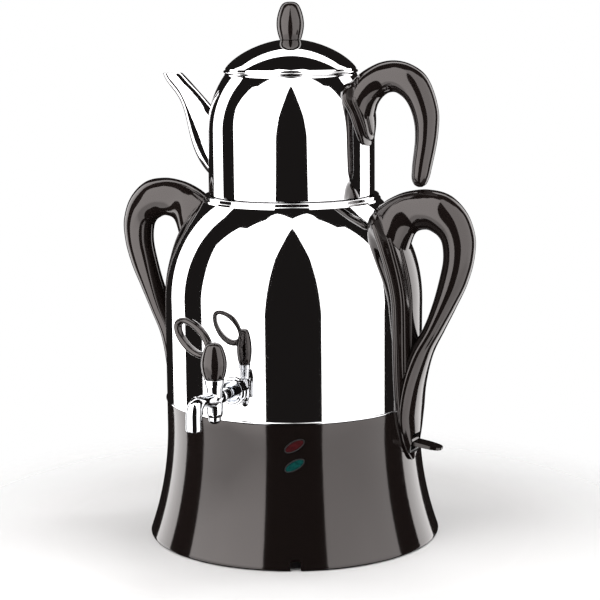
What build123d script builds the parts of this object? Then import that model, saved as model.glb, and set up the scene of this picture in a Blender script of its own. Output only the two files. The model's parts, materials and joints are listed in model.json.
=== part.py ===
from build123d import *
import math
import os

# Electric samovar: a heated water tank on a flared stand, with a teapot that sits in the tank's mouth.
# Millimetres. The vertical axis of the vessel is Z, the stand rests on Z = 0, the tap points to -Y,
# the handle with the switch to +X and the teapot's spout to -X.

# ---------------------------------------------------------------- fits
SEAT_GAP = 0.15  # between curved pieces that are screwed or welded together
SLIP_GAP = 0.3  # round a piece that drops into a seat by hand
RUNNING_GAP = 0.05  # radial, round a shaft that turns
POCKET_GAP = 0.2  # round a bracket in its pocket

# ---------------------------------------------------------------- tank
TANK_RADIUS = 100.0
TANK_WALL = 1.0
SEAM_HEIGHT = 108.3  # where the tank meets the stand
HEM_RADIUS = 0.9  # rolled lower edge of the tank
SHOULDER_START = 188.0
SHOULDER_RISE = 106.0  # vertical half axis of the domed shoulder
MOUTH_HEIGHT = 264.4
MOUTH_RADIUS = 67.6
FLOOR_THICKNESS = 1.2
FLOOR_HEIGHT = 111.0

# ---------------------------------------------------------------- stand
SKIRT_FOOT_RADIUS = 115.1
SKIRT_WALL = 2.6
SKIRT_RIM_HEIGHT = 1.0
FLARE_START = 88.0
SPIGOT_WALL = 3.0
LEDGE_HEIGHT = 6.2  # underside of the inner ledge that the bottom cover is screwed to
LEDGE_THICKNESS = 2.2
LEDGE_INNER_RADIUS = 104.0
PLATE_THICKNESS = 2.2
PLATE_RADIUS = 110.0
PLATE_CUP_RADIUS = 18.0
PLATE_CUP_HEIGHT = 12.0
SLOT_COUNT = 12
SLOT_WIDTH = 4.0
SLOT_INNER_RADIUS = 36.0
SLOT_OUTER_RADIUS = 68.0
FOOT_RING_OUTER_RADIUS = 109.6
FOOT_RING_WIDTH = 3.8
BOSS_RADIUS = 4.0
BOSS_CIRCLE = 101.5
BOSS_TOP = 34.0
BOSS_COUNT = 4
COVER_SCREW_RADIUS = 1.6
COVER_SCREW_HEAD_RADIUS = 3.6
COVER_SCREW_HEAD_HEIGHT = 2.0
COVER_SCREW_LENGTH = 16.0
NOTCH_WIDTH = 7.8
NOTCH_HEIGHT = 8.6
NOTCH_CORNER = 2.4
LAMP_AZIMUTH = 26.6  # degrees from the tap towards the switch handle
GLAND_RADIUS = 6.0
GLAND_BORE = 3.6
GLAND_FLANGE_RADIUS = 8.0
GLAND_OFFSET = 95.0

# ---------------------------------------------------------------- lamps
LAMP_HEIGHTS = {"red": 92.4, "green": 77.6}
LAMP_LENGTH = 15.2
LAMP_WIDTH = 6.0
LAMP_TILT = 29.6
BEZEL_RIM = 0.8
BEZEL_PROUD = 0.9
LENS_PROUD = 0.6
LENS_DEPTH = 4.6
HOLDER_HALF_WIDTH = 12.0
HOLDER_DEPTH = 4.0
HOLDER_MARGIN = 6.5  # above and below the lamps
NEON_RADIUS = 2.6
NEON_LENGTH = 12.0

# ---------------------------------------------------------------- heater
SPREADER_RADIUS = 80.0
SPREADER_THICKNESS = 5.0
ELEMENT_RING_RADIUS = 55.0
ELEMENT_TUBE_RADIUS = 3.5
ELEMENT_OPENING = 44.0  # degrees left open between the cold ends
ELEMENT_LEG = 12.0
ELEMENT_SLEEVE_RADIUS = 4.0
TAB_SIZE = (6.3, 0.8, 8.0)
TERMINAL_BLOCK_SIZE = (34.0, 13.0, 12.0)
TERMINAL_OFFSET = 77.0
BRIDGE_LENGTH = 132.0
BRIDGE_WIDTH = 18.0
BRIDGE_THICKNESS = 2.0
STUD_RADIUS = 3.0
NUT_FLATS = 10.0
NUT_HEIGHT = 5.0
WASHER_RADIUS = 8.0
WASHER_THICKNESS = 1.2
THERMOSTAT_RADIUS = 8.0
THERMOSTAT_HEIGHT = 8.0
THERMOSTAT_OFFSET = 30.0
THERMOSTAT_TAB = (3.0, 0.8, 7.0)
FUSE_RADIUS = 2.0
FUSE_LENGTH = 14.0
FUSE_OFFSET = 32.0

# ---------------------------------------------------------------- seat ring
SEAT_FLANGE_RADIUS = 69.2
SEAT_BORE_RADIUS = 63.7
SEAT_TOP = 269.0
SEAT_LIP_RADIUS = 65.1
SEAT_STEP = 1.3
SEAT_LEDGE_INNER_RADIUS = 57.5
SEAT_LEDGE_HEIGHT = 262.8
SEAT_LEDGE_THICKNESS = 1.5
VENT_RADIUS = 0.85
VENT_CIRCLE = 66.1
VENT_PITCH = 8.8  # degrees
VENT_COUNT = 5

# ---------------------------------------------------------------- teapot
POT_RADIUS = 64.5
POT_WALL = 1.0
POT_FOOT_RADIUS = 63.2
POT_FOOT_HEIGHT = 5.6
POT_CORNER = 1.6
POT_REST_GAP = 0.2
POT_MOUTH_HEIGHT = 361.0
POT_MOUTH_RADIUS = 51.0
POT_SHOULDER_DROP = 43.0  # from the mouth down to where the shoulder starts
POT_RIM = 0.9
POT_LIP_WIDTH = 1.8
BASE_DISC_RADIUS = 56.0
BASE_DISC_THICKNESS = 3.5
STRAINER_HOLE_RADIUS = 1.5
STRAINER_PITCH = 5.5
STRAINER_DROP = 61.0  # from the mouth down to the middle of the field of holes
STRAINER_ROWS = (2, 3, 4, 3, 2)

# ---------------------------------------------------------------- lid
LID_RIM_RISE = 2.6  # from the teapot's mouth up to the lid's beaded edge
LID_RISE = 24.4  # from the beaded edge up to the top of the dome
LID_BEAD = 0.9
LID_WALL = 1.0
LID_SKIRT_GAP = 0.9
LID_SKIRT_DEPTH = 7.1
KNOB_HEIGHT = 28.2
KNOB_RADIUS = 10.5
KNOB_FOOT_RADIUS = 8.0
KNOB_WIDEST_RISE = 12.3
KNOB_SCREW_RADIUS = 2.0
KNOB_SCREW_LENGTH = 16.0

# ---------------------------------------------------------------- handles
SADDLE_THICKNESS = 5.5
POT_SADDLE_THICKNESS = 5.0
BRACKET_THICKNESS = 1.2
BRACKET_HALF_WIDTH = 8.0
LUG_SIZE = (4.5, 9.0, 5.0)
TANK_BRACKET_HEIGHT = 224.0  # middle of the bracket
TANK_BRACKET_LENGTH = 36.0
POT_BRACKET_DROP = 37.0  # from the mouth down to the middle of the bracket
POT_BRACKET_LENGTH = 20.0
FOOT_SCREW_HEIGHT = 95.5
FOOT_SCREW_RADIUS = 2.0
FOOT_SCREW_HEAD_RADIUS = 3.5
FOOT_SCREW_HEAD_HEIGHT = 2.5
FOOT_SCREW_REACH = 105.5
POT_SCREW_LENGTH = 9.0
POT_SCREW_RADIUS = 1.2
# (outer edge, inner edge, half width) of the loop's cross-sections, each edge as (radius, height)
LOOP_SECTIONS = (
    ((78.0, 265.5), (90.0, 238.0), 11.0),
    ((97.0, 274.5), (103.0, 245.5), 11.3),
    ((114.0, 276.8), (113.0, 246.5), 12.3),
    ((131.0, 273.3), (120.5, 244.0), 13.0),
    ((144.5, 261.0), (125.0, 240.0), 12.5),
    ((151.5, 243.0), (127.0, 234.0), 12.0),
    ((151.0, 226.0), (127.3, 224.0), 11.5),
    ((145.8, 207.0), (124.6, 210.5), 11.0),
    ((136.8, 188.0), (119.6, 192.0), 11.0),
    ((127.0, 169.0), (112.3, 172.5), 12.0),
    ((117.5, 150.0), (100.0, 151.0), 14.5),
    ((110.8, 126.0), (94.0, 129.0), 18.5),
    ((108.0, 104.0), (92.0, 104.0), 20.5),
    ((107.0, 86.0), (92.0, 86.0), 15.0),
    ((105.6, 74.0), (92.0, 74.0), 8.5),
    ((103.6, 67.6), (92.0, 67.6), 2.5),
)
# the same for the teapot's hook, with heights counted from the teapot's mouth
HOOK_SECTIONS = (
    ((58.0, 0.0), (66.0, -20.0), 11.5),
    ((77.0, 10.5), (80.0, -12.5), 11.2),
    ((88.0, 11.6), (87.2, -12.0), 11.0),
    ((99.5, 9.0), (93.5, -15.0), 10.8),
    ((111.0, 1.5), (98.5, -20.5), 10.5),
    ((121.6, -24.0), (103.6, -34.5), 9.6),
    ((121.6, -41.0), (104.3, -46.0), 9.2),
    ((115.8, -68.5), (103.2, -70.2), 7.6),
    ((113.0, -76.0), (103.0, -77.0), 6.0),
    ((110.6, -80.6), (105.0, -81.0), 3.3),
    ((108.9, -82.1), (107.0, -82.2), 1.0),
)
# (half width, height) of the saddles' outlines from the lowest point to the highest; the teapot's is counted
# from the teapot's mouth
TANK_SADDLE = ((0.0, 66.8), (11.0, 76.5), (19.0, 97.0), (23.0, 120.0), (25.8, 180.0), (27.0, 234.0),
               (20.5, 252.5), (0.0, 259.5))
POT_SADDLE = ((0.0, -53.0), (9.5, -50.5), (17.0, -39.0), (20.5, -27.5), (23.5, -16.5), (18.5, -9.5),
              (0.0, -6.5))

# ---------------------------------------------------------------- spout
SPOUT_WALL = 1.1
# (outer edge, inner edge, half width), each edge as (radius, height from the teapot's mouth)
SPOUT_SECTIONS = (
    ((66.0, -84.0), (60.0, -32.0), 15.0),
    ((78.3, -72.5), (70.0, -26.2), 13.5),
    ((85.3, -58.5), (77.5, -18.7), 11.5),
    ((89.6, -41.5), (83.6, -12.7), 9.8),
    ((95.8, -23.5), (88.8, -7.8), 8.5),
    ((103.2, -13.4), (93.6, -3.2), 7.6),
    ((112.3, -0.4), (97.2, -0.4), 7.4),
)

# ---------------------------------------------------------------- switch
LEVER_PIVOT = (101.5, 81.5)  # (radius, height)
LEVER_TRAVEL = 16.0  # degrees from off to on
LEVER_TIP = 126.8
LEVER_WIDTH = 13.0
LEVER_THICKNESS = 3.0
LEVER_HUB_RADIUS = 3.4
SWITCH_PIN_RADIUS = 1.25
SNOUT_HALF_WIDTH = 8.4
SNOUT_HALF_HEIGHT = 7.4
SNOUT_WALL = 1.4
SNOUT_REACH = 103.6
SWITCH_BOX = (15.0, 20.0, 20.0)

# ---------------------------------------------------------------- tap
TAP_HEIGHT = 132.3
TAP_AXIS = 129.4  # from the vessel's axis to the valve's axis
OUTLET_AXIS = 160.5
OUTLET_BOTTOM = 115.0
OUTLET_RADIUS = 6.0
OUTLET_BORE = 4.3
ELBOW_TOP = 139.4
TIP_FLAT = 0.4  # radius of the small flat where a turned shape crosses its axis
SHANK_RADIUS = 4.8
FLOW_BORE = 2.8
BARREL_TOP = 143.9
BARREL_BOTTOM = 119.0
BARREL_TOP_RADIUS = 6.6
BARREL_BOTTOM_RADIUS = 5.7
PLUG_RADIUS = 4.15
STEM_RADIUS = 3.0
STEM_TOP = 153.0
GLAND_NUT_RADIUS = 7.6
GLAND_NUT_HEIGHT = 3.7
BOTTOM_CAP_RADIUS = 4.7
BOTTOM_CAP_BOTTOM = 113.7
SPRING_THICKNESS = 0.8
ROSETTE_RADIUS = 10.65
ROSETTE_DEPTH = 5.0
LOCK_NUT_FLATS = 16.0
LOCK_NUT_HEIGHT = 5.0
GASKET_RADIUS = 10.0
GASKET_THICKNESS = 2.0
GRIP_RADIUS = 9.6
GRIP_FOOT_RADIUS = 7.6
GRIP_TOP = 174.4
GRIP_WIDEST = 158.5
RING_CENTRE = (-21.2, 175.0)  # (across, height) in the ring's own upright plane
RING_HALF_LENGTH = 20.4
RING_HALF_WIDTH = 11.8
RING_SECTION = 4.8
RING_DEPTH = 6.5
RING_SLOPE = 152.0  # degrees from the plane's across direction to the ring's long axis
RING_SWING = -17.5  # degrees that the ring's plane is turned, towards the tank

FLARE_DROP = FLARE_START - SKIRT_RIM_HEIGHT
FLARE_SPREAD = SKIRT_FOOT_RADIUS - TANK_RADIUS
FLARE_ARC = (FLARE_DROP**2 + FLARE_SPREAD**2) / (2 * FLARE_SPREAD)
POT_SHOULDER_START = POT_MOUTH_HEIGHT - POT_SHOULDER_DROP
POT_ARC_INSET = POT_RADIUS - POT_MOUTH_RADIUS
POT_ARC = (POT_SHOULDER_DROP**2 + POT_ARC_INSET**2) / (2 * POT_ARC_INSET)
POT_INNER_MOUTH_RADIUS = POT_MOUTH_RADIUS - POT_LIP_WIDTH
POT_BOTTOM = SEAT_LEDGE_HEIGHT + POT_REST_GAP
POT_BRACKET_HEIGHT = POT_MOUTH_HEIGHT - POT_BRACKET_DROP
LID_EDGE_RADIUS = POT_MOUTH_RADIUS - SEAT_GAP / 2
LID_DOME_RADIUS = (LID_EDGE_RADIUS**2 + LID_RISE**2) / (2 * LID_RISE)
LID_RIM_HEIGHT = POT_MOUTH_HEIGHT + LID_RIM_RISE
LID_TOP = LID_RIM_HEIGHT + LID_RISE
LID_CENTRE = LID_TOP - LID_DOME_RADIUS
LID_SKIRT_RADIUS = POT_INNER_MOUTH_RADIUS - LID_SKIRT_GAP
KNOB_TOP = LID_TOP + KNOB_HEIGHT
SPREADER_BOTTOM = FLOOR_HEIGHT - SPREADER_THICKNESS
ELEMENT_HEIGHT = SPREADER_BOTTOM - ELEMENT_TUBE_RADIUS
BRIDGE_TOP = ELEMENT_HEIGHT - ELEMENT_TUBE_RADIUS
PLATE_BOTTOM = LEDGE_HEIGHT - PLATE_THICKNESS
CUP_BOTTOM = PLATE_CUP_HEIGHT


# ---------------------------------------------------------------- shape helpers
def turned(*edges):
    """A solid of revolution about Z from a closed outline of edges drawn as (radius, height)."""
    return revolve(Plane.XZ * make_face(list(edges)), Axis.Z)


def turned_points(*points):
    """A solid of revolution about Z from straight runs between (radius, height) points."""
    return turned(Polyline(*points, close=True))


def rod(radius, low, high, x=0.0, y=0.0):
    """An upright cylinder."""
    return Pos(x, y, low) * Cylinder(radius, high - low, align=(Align.CENTER, Align.CENTER, Align.MIN))


def block(low, high):
    """A box between two corners."""
    size = [b - a for a, b in zip(low, high)]
    return Pos(*low) * Box(*size, align=(Align.MIN, Align.MIN, Align.MIN))


def hex_prism(flats, low, high):
    """An upright hexagonal prism."""
    outline = RegularPolygon(flats / 2, 6, major_radius=False)
    return Pos(0, 0, low) * extrude(outline, amount=high - low)


def outward(solid, height=0.0):
    """Turns what was built up along Z so that it points out of the front of the vessel."""
    return Pos(0, 0, height) * Rot(90, 0, 0) * solid


def sideways(solid, height=0.0):
    """Turns what was built up along Z so that it points out along +X."""
    return Pos(0, 0, height) * Rot(0, 90, 0) * solid


def faced(solid, azimuth):
    """Turns what was built at the front by an azimuth, counted from the tap towards the switch handle."""
    return Rot(0, 0, azimuth) * solid


def flare_radius(height, offset=0.0):
    """Radius of the stand's skirt, moved out by offset."""
    drop = max(FLARE_START - height, 0.0)
    return TANK_RADIUS + FLARE_ARC - math.sqrt((FLARE_ARC - offset) ** 2 - drop**2)


def shoulder_radius(height, offset=0.0):
    """Radius of the tank's domed shoulder, moved out by offset."""
    rise = max(height - SHOULDER_START, 0.0)
    return (TANK_RADIUS + offset) * math.sqrt(1 - (rise / (SHOULDER_RISE + offset)) ** 2)


def shoulder_edge(top, offset=0.0):
    """The shoulder's outline from its start up to a height."""
    count = 5
    heights = [SHOULDER_START + (top - SHOULDER_START) * k / count for k in range(count + 1)]
    points = [(shoulder_radius(h, offset), h) for h in heights]
    radius, height = points[-1]
    rise = height - SHOULDER_START
    slope = -rise * ((TANK_RADIUS + offset) / (SHOULDER_RISE + offset)) ** 2 / radius
    return Spline(*points, tangents=((0, 1), (slope, 1)), tangent_scalars=(1, 1))


def flare_edge(low, offset=0.0):
    """The skirt's flared outline from a low height up to where the flare starts."""
    middle = (low + FLARE_START) / 2
    points = [(flare_radius(h, offset), h) for h in (low, middle, FLARE_START)]
    return ThreePointArc(*points)


def pot_radius(height, offset=0.0):
    """Radius of the teapot's wall and shoulder, moved out by offset."""
    rise = max(height - POT_SHOULDER_START, 0.0)
    return POT_RADIUS - POT_ARC + math.sqrt((POT_ARC + offset) ** 2 - rise**2)


def pot_shoulder_edge(top, offset=0.0):
    """The teapot's shoulder outline from its start up to a height."""
    middle = (POT_SHOULDER_START + top) / 2
    return ThreePointArc(*[(pot_radius(h, offset), h) for h in (POT_SHOULDER_START, middle, top)])


def vessel_envelope(offset):
    """The space inside the skirt's and the tank's outer face, moved out by offset."""
    low = SKIRT_RIM_HEIGHT
    top = MOUTH_HEIGHT + offset
    flare = flare_edge(low, offset)
    wall = Line(flare @ 1, (TANK_RADIUS + offset, SHOULDER_START))
    shoulder = shoulder_edge(top, offset)
    closing = Polyline(shoulder @ 1, (0, top), (0, low), flare @ 0)
    return turned(flare, wall, shoulder, closing)


def pot_envelope(offset):
    """The space inside the teapot's outer face, moved out by offset."""
    low = SEAT_TOP
    top = POT_MOUTH_HEIGHT
    wall = Line((POT_RADIUS + offset, low), (POT_RADIUS + offset, POT_SHOULDER_START))
    shoulder = pot_shoulder_edge(top, offset)
    closing = Polyline(shoulder @ 1, (0, top), (0, low), wall @ 0)
    return turned(wall, shoulder, closing)


def oval_section(outer, inner, half_width):
    """A rounded cross-section between two (radius, height) edge points, drawn in the plane across the path."""
    across = Vector(outer[0] - inner[0], 0, outer[1] - inner[1])
    middle = Vector((outer[0] + inner[0]) / 2, 0, (outer[1] + inner[1]) / 2)
    plane = Plane(middle, x_dir=across, z_dir=across.cross(Vector(0, 1, 0)))
    count = 8
    turns = [2 * math.pi * k / count for k in range(count)]
    points = [(across.length / 2 * math.cos(t), half_width * math.sin(t)) for t in turns]
    return plane * make_face(Spline(*points, periodic=True))


def lofted(sections, base=0.0):
    """A smooth solid through oval sections whose heights are counted from a base height."""
    return Pos(0, 0, base) * loft([oval_section(*section) for section in sections])


def saddle(outline, envelope, thickness, base=0.0):
    """A plate of the given (half width, height from a base) outline that hugs the vessel on its +X side."""
    right = Spline(*outline, tangents=((1, 0), (-1, 0)))
    left = Spline(*[(-y, z) for y, z in outline], tangents=((-1, 0), (1, 0)))
    prism = Pos(0, 0, base) * extrude(Plane.YZ * make_face([right, left]), amount=2 * TANK_RADIUS)
    return prism & (envelope(SEAT_GAP + thickness) - envelope(SEAT_GAP))


def bracket(envelope, radius_at, middle, length, grow=0.0):
    """A curved steel strip on the vessel's +X side with a lug; grow makes the pocket that it fits."""
    half = BRACKET_HALF_WIDTH + grow
    reach = length / 2 + grow
    window = block((0, -half, middle - reach), (2 * TANK_RADIUS, half, middle + reach))
    strip = (envelope(BRACKET_THICKNESS + grow) - envelope(RUNNING_GAP)) & window
    depth, width, height = [side / 2 + grow for side in LUG_SIZE]
    start = radius_at(middle)
    lug = block((start - 1.0, -width, middle - height), (start + 2 * depth, width, middle + height))
    return strip + (lug - envelope(RUNNING_GAP))


def save(name, solid):
    """Writes one node's STEP file."""
    solid.label = name
    export_step(solid, os.path.join("parts", name + ".step"))


# ---------------------------------------------------------------- stand
def notch(azimuth):
    """A round-topped opening in the stand's foot."""
    half = NOTCH_WIDTH / 2
    outline = Pos(0, NOTCH_HEIGHT / 2) * RectangleRounded(NOTCH_WIDTH, NOTCH_HEIGHT, NOTCH_CORNER)
    outline += Pos(0, NOTCH_HEIGHT / 4 - 1) * Rectangle(2 * half, NOTCH_HEIGHT / 2 + 2)
    reach = SKIRT_FOOT_RADIUS - LEDGE_INNER_RADIUS + 4
    cutter = extrude(Plane.XZ * outline, amount=reach)
    return faced(Pos(0, -LEDGE_INNER_RADIUS + 2, 0) * cutter, azimuth)


def both_notches():
    """The front notch and the cord's notch at the back."""
    return notch(LAMP_AZIMUTH) + notch(180.0)


def lamp_oval(length, width, near, far, height):
    """An oval bar that lies along a radius of the stand, for a lamp at a height."""
    oval = extrude(Rot(0, 0, LAMP_TILT) * Ellipse(length / 2, width / 2), amount=far - near)
    return faced(outward(Pos(0, 0, near) * oval, height), LAMP_AZIMUTH)


def base_skirt():
    rim_outer = (flare_radius(SKIRT_RIM_HEIGHT), SKIRT_RIM_HEIGHT)
    flare = flare_edge(SKIRT_RIM_HEIGHT)
    inner_top = SEAM_HEIGHT - SKIRT_WALL
    spigot_outer = TANK_RADIUS - TANK_WALL - POCKET_GAP
    spigot_inner = spigot_outer - SPIGOT_WALL
    spigot_top = FLOOR_HEIGHT - POCKET_GAP / 2
    top = Polyline(
        (TANK_RADIUS, FLARE_START), (TANK_RADIUS, SEAM_HEIGHT - 0.6), (TANK_RADIUS - 0.6, SEAM_HEIGHT),
        (spigot_outer, SEAM_HEIGHT), (spigot_outer, spigot_top), (spigot_inner, spigot_top),
        (spigot_inner, inner_top - SPIGOT_WALL), (TANK_RADIUS - SKIRT_WALL, inner_top - 2 * SPIGOT_WALL),
        (TANK_RADIUS - SKIRT_WALL, FLARE_START),
    )
    inner = ThreePointArc(*[(flare_radius(h, -SKIRT_WALL), h)
                            for h in (FLARE_START, (FLARE_START + SKIRT_RIM_HEIGHT) / 2, SKIRT_RIM_HEIGHT)])
    shell = turned(flare, top, inner, Line(inner @ 1, rim_outer))
    ledge_outer = flare_radius(LEDGE_HEIGHT + LEDGE_THICKNESS) - SKIRT_WALL / 2
    ledge = turned_points((LEDGE_INNER_RADIUS, LEDGE_HEIGHT), (ledge_outer, LEDGE_HEIGHT),
                          (ledge_outer, LEDGE_HEIGHT + LEDGE_THICKNESS),
                          (LEDGE_INNER_RADIUS, LEDGE_HEIGHT + LEDGE_THICKNESS))
    bosses = PolarLocations(BOSS_CIRCLE, BOSS_COUNT, start_angle=45)
    bodies = shell + ledge + [spot * rod(BOSS_RADIUS, LEDGE_HEIGHT, BOSS_TOP) for spot in bosses]
    bodies -= [spot * rod(COVER_SCREW_RADIUS, LEDGE_HEIGHT, LEDGE_HEIGHT + COVER_SCREW_LENGTH)
               for spot in bosses]
    bodies -= both_notches()
    for height in LAMP_HEIGHTS.values():
        bodies -= lamp_oval(LAMP_LENGTH + 2 * BEZEL_RIM + POCKET_GAP, LAMP_WIDTH + 2 * BEZEL_RIM + POCKET_GAP,
                            LEDGE_INNER_RADIUS - 3 * SKIRT_WALL, SKIRT_FOOT_RADIUS, height)
    screw_hole = sideways(rod(FOOT_SCREW_RADIUS + POCKET_GAP, -SKIRT_FOOT_RADIUS, SKIRT_FOOT_RADIUS),
                          FOOT_SCREW_HEIGHT)
    radius, height = LEVER_PIVOT
    half_width = SNOUT_HALF_WIDTH + POCKET_GAP
    half_height = SNOUT_HALF_HEIGHT + POCKET_GAP
    window = block((radius - 12, -half_width, height - half_height), (radius + 12, half_width, height + half_height))
    return bodies - screw_hole - window


def base_plate():
    cup_wall = PLATE_CUP_RADIUS + PLATE_CUP_HEIGHT / 2
    cup_top = CUP_BOTTOM + PLATE_THICKNESS
    plate = turned_points(
        (STUD_RADIUS + POCKET_GAP, CUP_BOTTOM), (PLATE_CUP_RADIUS, CUP_BOTTOM), (cup_wall, PLATE_BOTTOM),
        (PLATE_RADIUS, PLATE_BOTTOM), (PLATE_RADIUS, LEDGE_HEIGHT), (cup_wall + 1, LEDGE_HEIGHT),
        (PLATE_CUP_RADIUS + 1, cup_top), (STUD_RADIUS + POCKET_GAP, cup_top),
    )
    length = SLOT_OUTER_RADIUS - SLOT_INNER_RADIUS
    slot = extrude(SlotOverall(length, SLOT_WIDTH), amount=LEDGE_HEIGHT)
    middle = (SLOT_OUTER_RADIUS + SLOT_INNER_RADIUS) / 2
    plate -= [spot * slot for spot in PolarLocations(middle, SLOT_COUNT)]
    plate -= [spot * rod(COVER_SCREW_RADIUS + POCKET_GAP, 0, LEDGE_HEIGHT)
              for spot in PolarLocations(BOSS_CIRCLE, BOSS_COUNT, start_angle=45)]
    plate -= rod(GLAND_RADIUS + POCKET_GAP / 2, 0, LEDGE_HEIGHT, y=GLAND_OFFSET)
    return plate - both_notches()


def base_screws():
    screw = rod(COVER_SCREW_RADIUS - RUNNING_GAP, PLATE_BOTTOM, LEDGE_HEIGHT + COVER_SCREW_LENGTH - 2)
    screw += rod(COVER_SCREW_HEAD_RADIUS, PLATE_BOTTOM - COVER_SCREW_HEAD_HEIGHT, PLATE_BOTTOM)
    screw -= block((-3, -0.4, 0), (3, 0.4, PLATE_BOTTOM - COVER_SCREW_HEAD_HEIGHT / 2))
    return Compound(children=[spot * screw for spot in PolarLocations(BOSS_CIRCLE, BOSS_COUNT, start_angle=45)])


def foot_ring():
    inner = FOOT_RING_OUTER_RADIUS - FOOT_RING_WIDTH
    ring = turned_points((inner, 0), (FOOT_RING_OUTER_RADIUS - 0.6, 0), (FOOT_RING_OUTER_RADIUS, 0.6),
                         (FOOT_RING_OUTER_RADIUS, PLATE_BOTTOM), (inner, PLATE_BOTTOM))
    return ring - both_notches()


def cord_gland():
    flange = 1.4
    bush = rod(GLAND_RADIUS, PLATE_BOTTOM - flange, LEDGE_HEIGHT + 5)
    bush += rod(GLAND_FLANGE_RADIUS, PLATE_BOTTOM - flange, PLATE_BOTTOM)
    bush += rod(GLAND_FLANGE_RADIUS, LEDGE_HEIGHT, LEDGE_HEIGHT + flange)
    return Pos(0, GLAND_OFFSET, 0) * (bush - rod(GLAND_BORE, 0, 2 * LEDGE_HEIGHT))


def terminal_block():
    length, depth, height = TERMINAL_BLOCK_SIZE
    body = block((-length / 2, -depth / 2, 0), (length / 2, depth / 2, height))
    body = fillet(body.edges().filter_by(Axis.Z), 1.5)
    poles = GridLocations(length / 3, 0, 3, 1)
    body -= [spot * rod(2.4, height / 2, height) for spot in poles]
    body -= [spot * outward(rod(1.8, -depth, depth), height / 3) for spot in poles]
    return Pos(0, TERMINAL_OFFSET, LEDGE_HEIGHT) * body


# ---------------------------------------------------------------- lamps
def lamp_lens(height):
    lens = lamp_oval(LAMP_LENGTH - RUNNING_GAP, LAMP_WIDTH - RUNNING_GAP,
                     TANK_RADIUS - LENS_DEPTH, TANK_RADIUS + LENS_PROUD, height)
    return lens


def lamp_bezels():
    rings = []
    for height in LAMP_HEIGHTS.values():
        ring = lamp_oval(LAMP_LENGTH + 2 * BEZEL_RIM, LAMP_WIDTH + 2 * BEZEL_RIM,
                         TANK_RADIUS - SKIRT_WALL, TANK_RADIUS + BEZEL_PROUD, height)
        ring -= lamp_oval(LAMP_LENGTH, LAMP_WIDTH, 0, SKIRT_FOOT_RADIUS, height)
        rings.append(ring)
    return Compound(children=rings)


def lamp_holder():
    inner = TANK_RADIUS - SKIRT_WALL - SEAT_GAP
    low = min(LAMP_HEIGHTS.values()) - HOLDER_MARGIN
    high = max(LAMP_HEIGHTS.values()) + HOLDER_MARGIN
    ring = turned_points((inner - HOLDER_DEPTH, low), (inner, low), (inner, high), (inner - HOLDER_DEPTH, high))
    window = block((-HOLDER_HALF_WIDTH, -SKIRT_FOOT_RADIUS, low), (HOLDER_HALF_WIDTH, 0, high))
    holder = faced(ring & window, LAMP_AZIMUTH)
    for height in LAMP_HEIGHTS.values():
        holder -= lamp_oval(LAMP_LENGTH + POCKET_GAP, LAMP_WIDTH + POCKET_GAP,
                            TANK_RADIUS - LENS_DEPTH - POCKET_GAP, TANK_RADIUS, height)
        holder -= faced(outward(rod(NEON_RADIUS + RUNNING_GAP, 0, TANK_RADIUS), height), LAMP_AZIMUTH)
    return holder


def neon_lamps():
    far = TANK_RADIUS - LENS_DEPTH - POCKET_GAP
    tube = rod(NEON_RADIUS, far - NEON_LENGTH, far)
    tube = fillet(tube.edges(), 1.2)
    return Compound(children=[faced(outward(tube, height), LAMP_AZIMUTH) for height in LAMP_HEIGHTS.values()])


# ---------------------------------------------------------------- tank and heater
def tank_shell():
    inner_top = MOUTH_HEIGHT - TANK_WALL
    outer_wall = Line((TANK_RADIUS, SEAM_HEIGHT + HEM_RADIUS), (TANK_RADIUS, SHOULDER_START))
    outer = shoulder_edge(MOUTH_HEIGHT)
    inner = shoulder_edge(inner_top, -TANK_WALL)
    mouth = Polyline(outer @ 1, (MOUTH_RADIUS, MOUTH_HEIGHT), (MOUTH_RADIUS, inner_top), inner @ 1)
    inner_wall = Polyline(inner @ 0, (TANK_RADIUS - TANK_WALL, SEAM_HEIGHT + HEM_RADIUS), outer_wall @ 0)
    shell = turned(outer_wall, outer, mouth, inner, inner_wall)
    shell += Pos(0, 0, SEAM_HEIGHT + HEM_RADIUS) * Torus(TANK_RADIUS - 0.05, HEM_RADIUS)
    shell -= turned_points((0, 0), (TANK_RADIUS - TANK_WALL, 0), (TANK_RADIUS - TANK_WALL, SHOULDER_START),
                           (0, SHOULDER_START))
    return shell - outward(rod(SHANK_RADIUS + POCKET_GAP, 0, SKIRT_FOOT_RADIUS), TAP_HEIGHT)


def tank_floor():
    radius = TANK_RADIUS - TANK_WALL - RUNNING_GAP
    turn_up = 4.0
    top = FLOOR_HEIGHT + FLOOR_THICKNESS
    return turned_points((0, FLOOR_HEIGHT), (radius, FLOOR_HEIGHT), (radius, top + turn_up),
                         (radius - FLOOR_THICKNESS, top + turn_up), (radius - FLOOR_THICKNESS, top), (0, top))


def heat_spreader():
    plate = rod(SPREADER_RADIUS, SPREADER_BOTTOM, FLOOR_HEIGHT)
    return fillet(plate.edges().sort_by(Axis.Z)[0], 1.5)


def element_ends():
    """Where the heater's two cold legs stand, as (x, y)."""
    half = math.radians(ELEMENT_OPENING / 2)
    side = ELEMENT_RING_RADIUS * math.sin(half)
    back = ELEMENT_RING_RADIUS * math.cos(half)
    return ((side, back), (-side, back))


def heating_element():
    tube = Pos(ELEMENT_RING_RADIUS, 0, 0) * Rot(90, 0, 0) * Circle(ELEMENT_TUBE_RADIUS)
    ring = revolve(tube, Axis.Z, revolution_arc=360 - ELEMENT_OPENING)
    element = Pos(0, 0, ELEMENT_HEIGHT) * Rot(0, 0, 90 + ELEMENT_OPENING / 2) * ring
    for x, y in element_ends():
        element += rod(ELEMENT_SLEEVE_RADIUS, ELEMENT_HEIGHT - ELEMENT_LEG, ELEMENT_HEIGHT + 2, x, y)
    return element


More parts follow.
